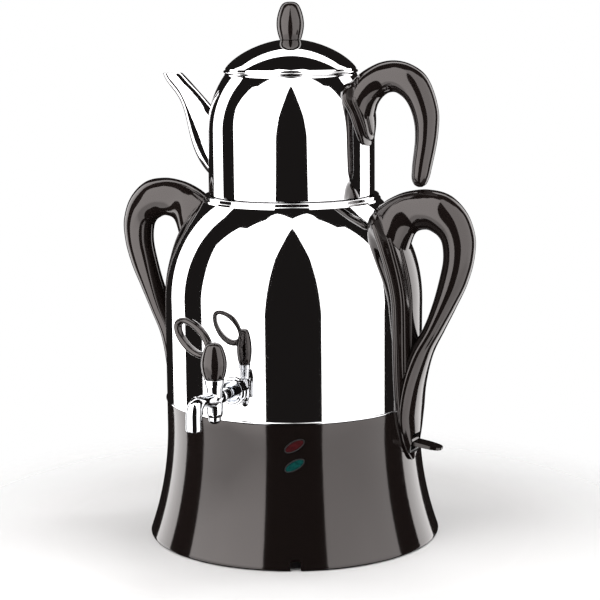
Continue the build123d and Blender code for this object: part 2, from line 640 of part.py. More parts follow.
def element_tabs():
    width, thickness, length = TAB_SIZE
    top = ELEMENT_HEIGHT - ELEMENT_LEG
    tab = block((-width / 2, -thickness / 2, -length), (width / 2, thickness / 2, 0))
    tab -= outward(rod(0.8, -1, 1), -length + 2.5)
    return Compound(children=[Pos(x, y, top) * tab for x, y in element_ends()])


def clamp_bridge():
    bar = extrude(SlotOverall(BRIDGE_LENGTH, BRIDGE_WIDTH), amount=BRIDGE_THICKNESS)
    bar -= rod(STUD_RADIUS + POCKET_GAP, 0, BRIDGE_THICKNESS)
    return Pos(0, 0, BRIDGE_TOP - BRIDGE_THICKNESS) * bar


def tie_stud():
    low = CUP_BOTTOM - WASHER_THICKNESS - NUT_HEIGHT - 1
    return rod(STUD_RADIUS, low, SPREADER_BOTTOM)


def tie_washer():
    return rod(WASHER_RADIUS, CUP_BOTTOM - WASHER_THICKNESS, CUP_BOTTOM) - rod(
        STUD_RADIUS + POCKET_GAP, 0, PLATE_CUP_HEIGHT)


def tie_nut():
    high = CUP_BOTTOM - WASHER_THICKNESS
    nut = hex_prism(NUT_FLATS, high - NUT_HEIGHT, high)
    return nut - rod(STUD_RADIUS, 0, PLATE_CUP_HEIGHT)


def thermostats():
    disc = rod(THERMOSTAT_RADIUS, SPREADER_BOTTOM - THERMOSTAT_HEIGHT, SPREADER_BOTTOM)
    disc += rod(THERMOSTAT_RADIUS + 1.5, SPREADER_BOTTOM - 1.2, SPREADER_BOTTOM)
    width, thickness, length = THERMOSTAT_TAB
    tab = block((-width / 2, -thickness / 2, -length), (width / 2, thickness / 2, 0))
    disc += [Pos(side * THERMOSTAT_RADIUS / 2, 0, SPREADER_BOTTOM - THERMOSTAT_HEIGHT) * tab for side in (-1, 1)]
    return Compound(children=[Pos(0, side * THERMOSTAT_OFFSET, 0) * disc for side in (-1, 1)])


def thermal_fuse():
    tube = rod(FUSE_RADIUS, -FUSE_LENGTH / 2, FUSE_LENGTH / 2) + rod(0.5, -FUSE_LENGTH, FUSE_LENGTH)
    return Pos(-FUSE_OFFSET, FUSE_OFFSET / 2, 0) * outward(tube, SPREADER_BOTTOM - FUSE_RADIUS)


def seat_ring():
    spigot = MOUTH_RADIUS - SLIP_GAP
    bottom = SEAT_LEDGE_HEIGHT - SEAT_LEDGE_THICKNESS
    step_radius = SEAT_FLANGE_RADIUS - SEAT_STEP
    step_height = (MOUTH_HEIGHT + SEAT_TOP) / 2 - 0.3
    rounding = 0.8
    outline = Polyline(
        (step_radius - rounding, SEAT_TOP), (SEAT_LIP_RADIUS, SEAT_TOP), (SEAT_BORE_RADIUS, SEAT_TOP - 1.6),
        (SEAT_BORE_RADIUS, SEAT_LEDGE_HEIGHT), (SEAT_LEDGE_INNER_RADIUS, SEAT_LEDGE_HEIGHT),
        (SEAT_LEDGE_INNER_RADIUS, bottom), (spigot, bottom), (spigot, MOUTH_HEIGHT),
        (SEAT_FLANGE_RADIUS, MOUTH_HEIGHT), (SEAT_FLANGE_RADIUS, step_height - rounding),
    )
    lower_round = RadiusArc(outline @ 1, (SEAT_FLANGE_RADIUS - rounding, step_height), rounding, short_sagitta=True)
    step = Polyline(lower_round @ 1, (step_radius, step_height), (step_radius, SEAT_TOP - rounding))
    upper_round = RadiusArc(step @ 1, outline @ 0, rounding, short_sagitta=True)
    ring = turned(outline, lower_round, step, upper_round)
    vent = rod(VENT_RADIUS, bottom - 1, SEAT_TOP + 1, y=-VENT_CIRCLE)
    for facing in (0, 180):
        for place in range(VENT_COUNT):
            ring -= faced(vent, facing + (place - (VENT_COUNT - 1) / 2) * VENT_PITCH)
    return ring


# ---------------------------------------------------------------- handles of the tank
def hem_groove():
    """Room behind the handles for the tank's rolled hem."""
    return Pos(0, 0, SEAM_HEIGHT + HEM_RADIUS) * Torus(TANK_RADIUS - 0.05, HEM_RADIUS + POCKET_GAP)


def tank_bracket(grow=0.0):
    return bracket(vessel_envelope, shoulder_radius, TANK_BRACKET_HEIGHT, TANK_BRACKET_LENGTH, grow)


def tank_handle():
    """A moulded handle on the +X side: a saddle on the tank, and a loop that flows into a long foot."""
    handle = saddle(TANK_SADDLE, vessel_envelope, SADDLE_THICKNESS) + lofted(LOOP_SECTIONS)
    handle -= vessel_envelope(SEAT_GAP)
    handle -= hem_groove()
    return handle - tank_bracket(POCKET_GAP)


def foot_screw_hole():
    return sideways(rod(FOOT_SCREW_RADIUS + RUNNING_GAP, 0, FOOT_SCREW_REACH + 0.5), FOOT_SCREW_HEIGHT)


def switch_window():
    """The opening in the foot of the handle that the switch's lever comes out of."""
    radius, height = LEVER_PIVOT
    half_width = SNOUT_HALF_WIDTH + POCKET_GAP
    half_height = SNOUT_HALF_HEIGHT + POCKET_GAP
    return block((radius - 12, -half_width, height - half_height), (radius + 12, half_width, height + half_height))


def left_handle():
    return Rot(0, 0, 180) * (tank_handle() - foot_screw_hole())


def right_handle():
    return tank_handle() - switch_window() - foot_screw_hole()


def handle_brackets():
    one = tank_bracket()
    return Compound(children=[one, Rot(0, 0, 180) * one])


def handle_screws():
    inner = TANK_RADIUS - SKIRT_WALL - POCKET_GAP
    screw = rod(FOOT_SCREW_RADIUS, inner - 1, FOOT_SCREW_REACH)
    screw += rod(FOOT_SCREW_HEAD_RADIUS, inner - FOOT_SCREW_HEAD_HEIGHT, inner)
    one = sideways(screw, FOOT_SCREW_HEIGHT)
    return Compound(children=[one, Rot(0, 0, 180) * one])


# ---------------------------------------------------------------- switch
def switch_body():
    radius, height = LEVER_PIVOT
    depth, width, tall = SWITCH_BOX
    wall_inside = TANK_RADIUS - SKIRT_WALL - SEAT_GAP - 0.9
    box = block((wall_inside - depth, -width / 2, height - tall / 2), (wall_inside, width / 2, height + tall / 2))
    snout = block((wall_inside, -SNOUT_HALF_WIDTH, height - SNOUT_HALF_HEIGHT),
                  (SNOUT_REACH, SNOUT_HALF_WIDTH, height + SNOUT_HALF_HEIGHT))
    body = fillet(box.edges().filter_by(Axis.X), 2.0) + snout
    half_width = SNOUT_HALF_WIDTH - SNOUT_WALL
    half_height = SNOUT_HALF_HEIGHT - SNOUT_WALL
    body -= block((radius - LEVER_HUB_RADIUS - 1, -half_width, height - half_height),
                  (SNOUT_REACH, half_width, height + half_height))
    pin_hole = outward(rod(SWITCH_PIN_RADIUS + RUNNING_GAP, -SNOUT_HALF_WIDTH, SNOUT_HALF_WIDTH), height)
    tab = block((wall_inside - depth - 6, -0.4, height - 2), (wall_inside - depth, 0.4, height + 2))
    return body - Pos(radius, 0, 0) * pin_hole + [Pos(0, side * 5, 0) * tab for side in (-1, 1)]


def switch_pin():
    radius, height = LEVER_PIVOT
    return Pos(radius, 0, 0) * outward(rod(SWITCH_PIN_RADIUS, -SNOUT_HALF_WIDTH, SNOUT_HALF_WIDTH), height)


def switch_lever():
    """A leaf-shaped rocker, drawn level and then dropped to its off position."""
    radius, height = LEVER_PIVOT
    half = LEVER_WIDTH / 2
    reach = LEVER_TIP - radius
    side = Spline((0, half), (reach * 0.62, half), (reach, 0), tangents=((1, 0), (0, -1)))
    other = Spline((reach, 0), (reach * 0.62, -half), (0, -half), tangents=((0, -1), (-1, 0)))
    plan = make_face([side, other, Line((0, -half), (0, half))])
    leaf = Pos(0, 0, -LEVER_THICKNESS / 2) * extrude(plan, amount=LEVER_THICKNESS)
    thin = LEVER_THICKNESS * 0.3
    taper = Polyline((-5, LEVER_THICKNESS / 2), (reach / 2, LEVER_THICKNESS / 2), (reach + 1, thin),
                     (reach + 1, -thin), (reach / 2, -LEVER_THICKNESS / 2), (-5, -LEVER_THICKNESS / 2), close=True)
    leaf &= Pos(0, half + 1, 0) * extrude(Plane.XZ * make_face(taper), amount=LEVER_WIDTH + 2)
    hub = outward(rod(LEVER_HUB_RADIUS, -half, half))
    lever = leaf + hub - outward(rod(SWITCH_PIN_RADIUS + RUNNING_GAP, -half, half))
    return Pos(radius, 0, height) * Rot(0, LEVER_TRAVEL / 2, 0) * lever


# ---------------------------------------------------------------- tap
def tap_rosette():
    """A stepped cup that covers the hole in the tank."""
    near = TANK_RADIUS - 1.0
    far = TANK_RADIUS + ROSETTE_DEPTH - 0.5
    bore = SHANK_RADIUS + RUNNING_GAP
    cup = turned_points((bore, near), (ROSETTE_RADIUS, near), (ROSETTE_RADIUS, far - 3), (ROSETTE_RADIUS - 0.5, far - 2.5),
                        (ROSETTE_RADIUS - 1.4, far - 2.5), (ROSETTE_RADIUS - 1.4, far - 0.6),
                        (ROSETTE_RADIUS - 2.0, far), (ROSETTE_RADIUS - 2.8, far), (bore + 1.4, far - 2.4),
                        (bore, far - 2.4))
    return outward(cup, TAP_HEIGHT) - vessel_envelope(SEAT_GAP)


def tap_gasket():
    far = TANK_RADIUS - TANK_WALL
    ring = rod(GASKET_RADIUS, far - GASKET_THICKNESS, far) - rod(SHANK_RADIUS + RUNNING_GAP, 0, TANK_RADIUS)
    return outward(ring, TAP_HEIGHT) & rod(TANK_RADIUS - TANK_WALL - RUNNING_GAP, FLOOR_HEIGHT, SHOULDER_START)


def tap_lock_nut():
    high = TANK_RADIUS - TANK_WALL - GASKET_THICKNESS
    nut = hex_prism(LOCK_NUT_FLATS, high - LOCK_NUT_HEIGHT, high) - rod(SHANK_RADIUS, 0, TANK_RADIUS)
    return outward(nut, TAP_HEIGHT)


def domed_tube(radius, low, top):
    """The outlet's upright stretch, with the dome that closes the elbow."""
    dome = Spline((radius, TAP_HEIGHT), (TIP_FLAT, top), tangents=((0, 1), (-1, 0)))
    rest = Polyline(dome @ 1, (0, top), (0, low), (radius, low), dome @ 0)
    return Pos(0, -OUTLET_AXIS, 0) * turned(dome, rest)


def tap_body():
    inner_end = TANK_RADIUS - TANK_WALL - GASKET_THICKNESS - LOCK_NUT_HEIGHT - 1
    shank = outward(rod(SHANK_RADIUS, inner_end, TAP_AXIS), TAP_HEIGHT)
    barrel = Pos(0, -TAP_AXIS, 0) * turned_points(
        (0, BARREL_BOTTOM), (BARREL_BOTTOM_RADIUS - 0.5, BARREL_BOTTOM),
        (BARREL_BOTTOM_RADIUS, BARREL_BOTTOM + 0.5), (BARREL_TOP_RADIUS, BARREL_TOP), (0, BARREL_TOP))
    start = TAP_AXIS + 2
    waist = Spline((5.2, start), (4.1, start + 9), (OUTLET_RADIUS, OUTLET_AXIS - 1.0),
                   tangents=((-0.6, 1), (0.8, 1)))
    arm = turned(waist, Polyline(waist @ 1, (0, OUTLET_AXIS - 1.0), (0, start), waist @ 0))
    body = shank + barrel + outward(arm, TAP_HEIGHT) + domed_tube(OUTLET_RADIUS, OUTLET_BOTTOM, ELBOW_TOP)
    body -= outward(rod(FLOW_BORE, 0, OUTLET_AXIS), TAP_HEIGHT)
    body -= domed_tube(OUTLET_BORE, OUTLET_BOTTOM - 1, ELBOW_TOP - OUTLET_RADIUS + OUTLET_BORE)
    return body - rod(PLUG_RADIUS + RUNNING_GAP, BARREL_BOTTOM, BARREL_TOP, y=-TAP_AXIS)


def tap_bottom_cap():
    crown = BOTTOM_CAP_RADIUS - 1.2
    rise = 2.0
    top = BARREL_BOTTOM
    arc = ThreePointArc((TIP_FLAT, BOTTOM_CAP_BOTTOM), (crown, BOTTOM_CAP_BOTTOM + rise * 0.55),
                        (BOTTOM_CAP_RADIUS, BOTTOM_CAP_BOTTOM + rise * 1.6))
    rest = Polyline(arc @ 1, (BOTTOM_CAP_RADIUS, top), (PLUG_RADIUS, top), (PLUG_RADIUS, top + 0.8),
                    (0, top + 0.8), (0, BOTTOM_CAP_BOTTOM), arc @ 0)
    return Pos(0, -TAP_AXIS, 0) * turned(arc, rest)


def tap_spring():
    low = BARREL_BOTTOM + 0.8
    washer = turned_points((1.6, low + SPRING_THICKNESS / 2), (3.8, low), (3.8, low + SPRING_THICKNESS / 2),
                           (1.6, low + SPRING_THICKNESS))
    return Pos(0, -TAP_AXIS, 0) * washer


def tap_gland_nut():
    spigot = 2.2
    top = BARREL_TOP + GLAND_NUT_HEIGHT
    bore = STEM_RADIUS + RUNNING_GAP
    nut = turned_points((bore, BARREL_TOP - spigot), (PLUG_RADIUS, BARREL_TOP - spigot), (PLUG_RADIUS, BARREL_TOP),
                        (GLAND_NUT_RADIUS, BARREL_TOP), (GLAND_NUT_RADIUS, top - 0.6),
                        (GLAND_NUT_RADIUS - 0.6, top), (bore, top))
    return Pos(0, -TAP_AXIS, 0) * nut


def tap_plug():
    """The valve's plug: closed, its bore lies across the flow."""
    low = BARREL_BOTTOM + 0.8 + SPRING_THICKNESS
    high = BARREL_TOP - 2.2 - RUNNING_GAP
    plug = rod(PLUG_RADIUS, low, high) + rod(STEM_RADIUS, high, STEM_TOP)
    plug -= sideways(rod(FLOW_BORE, -PLUG_RADIUS - 1, PLUG_RADIUS + 1), TAP_HEIGHT)
    return Pos(0, -TAP_AXIS, 0) * plug


def egg_edge(foot_radius, foot, radius, widest, top):
    """Outline of an egg-shaped grip from its foot to the small flat at its tip."""
    shoulder = (radius * 0.74, top - (top - widest) * 0.29)
    return Spline((foot_radius, foot), (radius, widest), shoulder, (TIP_FLAT, top),
                  tangents=((0.35, 1), (-1, 0)))


def tap_handle():
    foot = BARREL_TOP + GLAND_NUT_HEIGHT + POCKET_GAP
    edge = egg_edge(GRIP_FOOT_RADIUS, foot, GRIP_RADIUS, GRIP_WIDEST, GRIP_TOP)
    egg = turned(edge, Polyline(edge @ 1, (0, GRIP_TOP), (0, foot), edge @ 0))
    outline = Ellipse(RING_HALF_LENGTH, RING_HALF_WIDTH)
    hole = Ellipse(RING_HALF_LENGTH - RING_SECTION, RING_HALF_WIDTH - RING_SECTION)
    ring = extrude(outline - hole, amount=RING_DEPTH / 2, both=True)
    ring = fillet(ring.edges(), RING_SECTION * 0.42)
    across, height = RING_CENTRE
    ring = Rot(0, 0, RING_SWING) * Pos(across, 0, height) * Rot(90, 0, 0) * Rot(0, 0, RING_SLOPE) * ring
    grip = egg + ring - rod(STEM_RADIUS + RUNNING_GAP, foot, STEM_TOP + POCKET_GAP)
    return Pos(0, -TAP_AXIS, 0) * grip


# ---------------------------------------------------------------- teapot
def strainer_holes():
    """A field of small holes in the teapot's wall behind the spout."""
    hole = sideways(rod(STRAINER_HOLE_RADIUS, -TANK_RADIUS, 0))
    field = []
    rows = len(STRAINER_ROWS)
    for row, count in enumerate(STRAINER_ROWS):
        height = POT_MOUTH_HEIGHT - STRAINER_DROP + (row - (rows - 1) / 2) * STRAINER_PITCH
        for place in range(count):
            field.append(Pos(0, (place - (count - 1) / 2) * STRAINER_PITCH, height) * hole)
    return field


def teapot_body():
    step = POT_BOTTOM + POT_FOOT_HEIGHT
    inner_top = POT_MOUTH_HEIGHT - 0.5
    outer_wall = Line((POT_RADIUS, step + POT_CORNER), (POT_RADIUS, POT_SHOULDER_START))
    outer = pot_shoulder_edge(POT_MOUTH_HEIGHT)
    inner = pot_shoulder_edge(inner_top, -POT_WALL)
    mouth = Polyline(outer @ 1, (POT_MOUTH_RADIUS, POT_MOUTH_HEIGHT + POT_RIM),
                     (POT_INNER_MOUTH_RADIUS, POT_MOUTH_HEIGHT + POT_RIM), (POT_INNER_MOUTH_RADIUS, inner_top),
                     inner @ 1)
    foot = Polyline(
        inner @ 0, (POT_RADIUS - POT_WALL, step + POT_CORNER), (POT_FOOT_RADIUS - POT_WALL, step),
        (POT_FOOT_RADIUS - POT_WALL, POT_BOTTOM + POT_WALL), (0, POT_BOTTOM + POT_WALL), (0, POT_BOTTOM),
        (POT_FOOT_RADIUS - 1, POT_BOTTOM), (POT_FOOT_RADIUS, POT_BOTTOM + 1), (POT_FOOT_RADIUS, step))
    corner = ThreePointArc(foot @ 1, (POT_FOOT_RADIUS + 0.95, step + 0.65), outer_wall @ 0)
    return turned(outer_wall, outer, mouth, inner, foot, corner) - strainer_holes()


def teapot_base_disc():
    disc = rod(BASE_DISC_RADIUS, POT_BOTTOM - BASE_DISC_THICKNESS, POT_BOTTOM)
    return fillet(disc.edges().sort_by(Axis.Z)[0], 1.2)


def inset_section(outer, inner, half_width, wall):
    """An oval section made smaller by a wall on every side."""
    across = Vector(outer[0] - inner[0], outer[1] - inner[1])
    shift = across.normalized() * wall
    return ((outer[0] - shift.X, outer[1] - shift.Y), (inner[0] + shift.X, inner[1] + shift.Y), half_width - wall)


def teapot_spout():
    bore = [inset_section(*section, SPOUT_WALL) for section in SPOUT_SECTIONS]
    skin = lofted(SPOUT_SECTIONS, POT_MOUTH_HEIGHT) - lofted(bore, POT_MOUTH_HEIGHT)
    return Rot(0, 0, 180) * (skin - pot_envelope(SEAT_GAP))


def pot_bracket(grow=0.0):
    return bracket(pot_envelope, pot_radius, POT_BRACKET_HEIGHT, POT_BRACKET_LENGTH, grow)


def pot_screw_place():
    """Radius and height of the upper end of the screw that holds the teapot's handle."""
    return POT_RADIUS + BRACKET_THICKNESS + POT_SCREW_RADIUS + POCKET_GAP * 2, POT_BRACKET_HEIGHT


def teapot_handle():
    handle = saddle(POT_SADDLE, pot_envelope, POT_SADDLE_THICKNESS, POT_MOUTH_HEIGHT)
    handle += lofted(HOOK_SECTIONS, POT_MOUTH_HEIGHT)
    handle -= pot_envelope(SEAT_GAP)
    handle -= pot_bracket(POCKET_GAP)
    radius, height = pot_screw_place()
    return handle - rod(POT_SCREW_RADIUS, SEAT_TOP, height, x=radius)


def teapot_handle_bracket():
    radius, height = pot_screw_place()
    return pot_bracket() - rod(POT_SCREW_RADIUS, height - LUG_SIZE[2], height + 1, x=radius)


def teapot_handle_screw():
    radius, height = pot_screw_place()
    return rod(POT_SCREW_RADIUS - RUNNING_GAP, height - POT_SCREW_LENGTH, height, x=radius)


# ---------------------------------------------------------------- lid
def lid_radius(height, offset=0.0):
    """Radius of the lid's dome, moved out by offset."""
    return math.sqrt((LID_DOME_RADIUS + offset) ** 2 - (height - LID_CENTRE) ** 2)


def dome_edge(low, offset=0.0):
    """The dome's outline from a low height up to the axis."""
    middle = low + (LID_TOP - low) * 0.6
    return ThreePointArc((lid_radius(low, offset), low), (lid_radius(middle, offset), middle),
                         (0, LID_TOP + offset))


def teapot_lid():
    outer = dome_edge(LID_RIM_HEIGHT)
    inner = dome_edge(LID_RIM_HEIGHT, -LID_WALL)
    shell = turned(outer, Line(outer @ 1, inner @ 1), inner, Line(inner @ 0, outer @ 0))
    shell += Pos(0, 0, LID_RIM_HEIGHT) * Torus(lid_radius(LID_RIM_HEIGHT), LID_BEAD)
    web_low = LID_RIM_HEIGHT - LID_BEAD / 2
    skirt_bottom = LID_RIM_HEIGHT - LID_SKIRT_DEPTH
    shell += turned_points(
        (LID_SKIRT_RADIUS - LID_WALL, skirt_bottom), (LID_SKIRT_RADIUS, skirt_bottom),
        (LID_SKIRT_RADIUS, web_low), (lid_radius(LID_RIM_HEIGHT), web_low),
        (lid_radius(LID_RIM_HEIGHT), LID_RIM_HEIGHT + 0.3), (LID_SKIRT_RADIUS - LID_WALL, LID_RIM_HEIGHT + 0.3))
    return shell - rod(KNOB_SCREW_RADIUS + POCKET_GAP, LID_RIM_HEIGHT, LID_TOP + 1)


def lid_knob():
    foot = LID_TOP - 1.0
    edge = egg_edge(KNOB_FOOT_RADIUS, foot, KNOB_RADIUS, LID_TOP + KNOB_WIDEST_RISE, KNOB_TOP)
    knob = turned(edge, Polyline(edge @ 1, (0, KNOB_TOP), (0, foot), edge @ 0))
    knob -= Pos(0, 0, LID_CENTRE) * Sphere(LID_DOME_RADIUS + SEAT_GAP)
    return knob - rod(KNOB_SCREW_RADIUS, LID_RIM_HEIGHT, LID_TOP + KNOB_SCREW_LENGTH - 3)


def lid_knob_washer():
    under = LID_TOP - LID_WALL - SLIP_GAP
    return rod(5.0, under - 1.0, under) - rod(KNOB_SCREW_RADIUS + POCKET_GAP, LID_RIM_HEIGHT, LID_TOP)


def lid_knob_screw():
    under = LID_TOP - LID_WALL - SLIP_GAP - 1.0
    head = fillet(rod(3.8, under - 2.4, under).edges().sort_by(Axis.Z)[0], 0.8)
    return head + rod(KNOB_SCREW_RADIUS - RUNNING_GAP, under - 1, under + KNOB_SCREW_LENGTH - 2)


PARTS = (
    base_skirt, base_plate, base_screws, foot_ring, cord_gland, terminal_block,
    lamp_bezels, lamp_holder, neon_lamps,
    tank_shell, tank_floor, heat_spreader, heating_element, element_tabs, clamp_bridge, tie_stud, tie_washer,
    tie_nut, thermostats, thermal_fuse, seat_ring,
    left_handle, right_handle, handle_brackets, handle_screws,
    switch_body, switch_pin, switch_lever,
    tap_rosette, tap_gasket, tap_lock_nut, tap_body, tap_bottom_cap, tap_spring, tap_gland_nut, tap_plug,
    tap_handle,
    teapot_body, teapot_base_disc, teapot_spout, teapot_handle, teapot_handle_bracket, teapot_handle_screw,
    teapot_lid, lid_knob, lid_knob_washer, lid_knob_screw,
)

os.makedirs("parts", exist_ok=True)
for make in PARTS:
    save(make.__name__, make())
for colour, lamp_height in LAMP_HEIGHTS.items():
    save(colour + "_lens", lamp_lens(lamp_height))
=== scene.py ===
# %% [markdown]
# # An electric samovar, dressed for the studio
# The CAD model gives every solid its place and its size. This notebook gives each one its finish: mirror steel,
# glossy black plastic, chrome, rubber and glass. It loads the CAD as a fixed frame, replaces the pieces that need a
# finer surface, and leaves the rest where they are with a better material.

# %% Load the frame
import bpy
import bmesh
import json
import math
import numpy as np
from mathutils import Matrix, Vector


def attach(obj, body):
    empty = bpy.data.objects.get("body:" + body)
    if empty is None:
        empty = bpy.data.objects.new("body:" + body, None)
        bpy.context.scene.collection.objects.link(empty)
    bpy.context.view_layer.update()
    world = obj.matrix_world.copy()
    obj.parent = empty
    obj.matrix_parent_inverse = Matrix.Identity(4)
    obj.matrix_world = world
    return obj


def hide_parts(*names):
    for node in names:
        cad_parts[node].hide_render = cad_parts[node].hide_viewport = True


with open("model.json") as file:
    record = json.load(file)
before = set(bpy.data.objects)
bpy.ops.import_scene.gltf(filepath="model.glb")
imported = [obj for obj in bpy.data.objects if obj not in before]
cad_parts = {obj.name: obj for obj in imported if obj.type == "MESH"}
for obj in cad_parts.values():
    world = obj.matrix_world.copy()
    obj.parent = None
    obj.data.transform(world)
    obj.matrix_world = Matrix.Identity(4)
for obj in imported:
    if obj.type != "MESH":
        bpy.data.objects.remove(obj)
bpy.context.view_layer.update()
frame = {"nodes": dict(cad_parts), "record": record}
BODY = {node: body for body, nodes in frame["record"]["behaviour"]["bodies"].items() for node in nodes}
SLOT = {part["node"]: part["material_slot"] for part in frame["record"]["subparts"]}
MM = 0.001
SLIVER = 0.000002  # metres; edges a boolean leaves that are shorter than this go
WELD = 0.000005  # metres; a swept grid's seam and poles close within this

# the sizes that several pieces share, in millimetres; they are the CAD's own
TANK_RADIUS, TANK_TOP_START, TANK_RISE = 100, 188, 106  # where the straight wall ends, and how high its dome would be
FLARE_TOP, FLARE_CENTRE, FLARE_RADIUS = 88, 358.18, 258.18  # the stand's flared wall
POT_RADIUS, POT_TOP_START, POT_MOUTH = 64.5, 318, 361.0
POT_CURVE, POT_CURVE_CENTRE = 75.23, -10.73  # the teapot's shoulder
LID_EDGE = 363.6
TAP_HEIGHT, TAP_AXIS, OUTLET_AXIS = 132.3, 129.4, 160.5
LAMP_AZIMUTH, LEVER_AZIMUTH, LEVER_HEIGHT = 26.6, 90, 81.5
SEAT_GAP = 0.15  # between a moulded piece and the vessel it sits on

# %% [markdown]
# Finishes are node trees. Three functions keep them readable: one turns a hex colour, which is written as the eye sees
# it on a screen, into the linear values that light is added up in; one adds a node with its settings and links; and
# one makes a finish from its shader's own values and from noises that move them a little.

# %% Colour, node and finish helpers
def linear(code):
    """sRGB hex to linear RGBA."""
    parts = [int(code[i:i + 2], 16) / 255 for i in (1, 3, 5)]
    return tuple(c / 12.92 if c <= 0.04045 else ((c + 0.055) / 1.055) ** 2.4 for c in parts) + (1.0,)


def add_node(tree, kind, inputs=None, **settings):
    """Adds a node; each input is a value, or an output socket to link from."""
    node = tree.nodes.new(kind)
    for name, value in settings.items():
        setattr(node, name, value)
    for name, value in (inputs or {}).items():
        if isinstance(value, bpy.types.NodeSocket):
            tree.links.new(value, node.inputs[name])
        else:
            node.inputs[name].default_value = value
    return node


def finish(name, noises=(), **surface):
    """A finish; surface holds the shader's own values, by socket name with _ for a space.

    Each noise is (blob size in mm, detail, stretch, uses). A use is a socket and what the noise does to it: Roughness
    has a lowest and a highest value, Base Color has two colours, and Normal has the depth of a bump in mm.
    """
    material = bpy.data.materials.new(name)
    material.use_nodes = True
    tree = material.node_tree
    shader = tree.nodes["Principled BSDF"]
    for key, value in surface.items():
        shader.inputs[key.replace("_", " ")].default_value = value
    for grain_mm, detail, stretch, uses in noises:
        place = add_node(tree, "ShaderNodeTexCoord").outputs["Object"]
        mapped = add_node(tree, "ShaderNodeMapping", {"Vector": place, "Scale": stretch}).outputs["Vector"]
        noise = add_node(tree, "ShaderNodeTexNoise",
                         {"Vector": mapped, "Scale": 1 / (grain_mm * MM), "Detail": detail}).outputs["Fac"]
        for socket, change in uses.items():
            if socket == "Roughness":
                made = add_node(tree, "ShaderNodeMapRange", {"Value": noise, "To Min": change[0], "To Max": change[1]})
                made = made.outputs["Result"]
            elif socket == "Base Color":
                made = add_node(tree, "ShaderNodeMix", {"Factor": noise, "A": linear(change[0]),
                                                        "B": linear(change[1])}, data_type="RGBA").outputs["Result"]
            else:
                made = add_node(tree, "ShaderNodeBump", {"Height": noise, "Distance": change * MM, "Strength": 1.0})
                made = made.outputs["Normal"]
            tree.links.new(made, shader.inputs[socket])
    print(name, "with", len(tree.nodes), "nodes")
    return material


EVEN = (1, 1, 1)

# %% [markdown]
# The tank, teapot, lid and spout are stainless steel that was polished on cloth wheels until it mirrors. What the
# eye gets from it is the room: hard black and white shapes. So the metal is almost perfectly smooth. Polishing
# leaves hair-fine marks that only soften a reflection's edge a little, and these are drawn as slight changes of
# roughness.

# %% Mirror-polished stainless steel
# long, faint wipe marks, 6 mm wide: they give reflections a soft edge here and there
mirror_steel = finish("mirror_polished_stainless_steel", [(6.0, 4.0, (1, 1, 0.12), {"Roughness": (0.018, 0.05)})],
                      Base_Color=linear("#d9d9da"), Metallic=1.0)

# %% [markdown]
# The handles, the stand and the knobs are black ABS, moulded in polished tools. The colour goes right through and
# is nearly black; the gloss comes from its smooth skin. Moulded skin is never as flat as glass: it has a very
# shallow waviness, called orange peel, which bends reflections slightly.

# %% Glossy black ABS
# the fine noise is the orange peel; the broad one is the haze that handling leaves, which dulls the gloss in places
# the warm specular tint is painted warmth: it tints the reflected panels in place of a warm light
gloss_abs = finish("gloss_moulded_black_abs", [(7.0, 1.0, EVEN, {"Normal": 0.012}),
                                               (25.0, 3.0, EVEN, {"Roughness": (0.05, 0.11)})],
                   Base_Color=linear("#100c0b"), IOR=1.54, Specular_Tint=linear("#fff7f5"))

# %% [markdown]
# The other plastics and the rubber. The bottom cover, the switch's housing and the lamp frames come from a mould
# with a fine sand-blasted texture, so they look satin. Rubber is duller still and slightly mottled by dust.

# %% Satin ABS, rubber and resin
# sand-blasted grit, 0.6 mm across: it spreads a highlight wide, so the eye reads satin
satin_abs = finish("satin_textured_black_abs", [(0.6, 2.0, EVEN, {"Normal": 0.03, "Roughness": (0.38, 0.55)})],
                   Base_Color=linear("#161617"), IOR=1.54)
# a pale bloom in patches makes the rubber look dry
soft_rubber = finish("moulded_black_rubber",
                     [(9.0, 4.0, EVEN, {"Base Color": ("#141414", "#262524"), "Roughness": (0.6, 0.8)})], IOR=1.52)
# flow marks of the filled resin show as a faint brown cloudiness
resin = finish("moulded_brown_black_resin",
               [(3.0, 3.0, EVEN, {"Base Color": ("#1b1410", "#2a2019"), "Roughness": (0.3, 0.45)})], IOR=1.6)

# %% [markdown]
# The tap is brass under bright chrome, which is bluer and darker than steel. The hidden metal parts are plain:
# rolled steel with its grain, cast aluminium with its pitted skin, zinc-plated screws, and brass fresh from the lathe.

# %% Chrome and the plain metals
# the casting's slight pull under the plating keeps small reflections from being perfect
chrome = finish("bright_chrome_plate", [(4.0, 3.0, EVEN, {"Roughness": (0.02, 0.06)})],
                Base_Color=linear("#cfd1d4"), Metallic=1.0)
# the rolls' grain is drawn out along the sheet, and streaks its highlights
rolled_steel = finish("rolled_steel_sheet", [(0.8, 3.0, (0.08, 1, 1), {"Roughness": (0.22, 0.42), "Normal": 0.004})],
                      Base_Color=linear("#a9a8a6"), Metallic=1.0)
# pits as deep as a hair is thick break the light up into a grey sheen
cast_aluminium = finish("cast_aluminium_skin", [(1.2, 4.0, EVEN, {"Roughness": (0.35, 0.6), "Normal": 0.05})],
                        Base_Color=linear("#b9babc"), Metallic=1.0)
# patches of blue and yellow tell zinc from bare steel
zinc = finish("zinc_plated_steel",
              [(2.5, 3.0, EVEN, {"Base Color": ("#b5b7ba", "#c6c4b4"), "Roughness": (0.2, 0.35)})], Metallic=1.0)
# fine rings that the tool left, closer along the axis than round it
turned_brass = finish("turned_brass", [(0.5, 1.0, (1, 1, 3), {"Roughness": (0.12, 0.26), "Normal": 0.003})],
                      Base_Color=linear("#c9a95f"), Metallic=1.0)
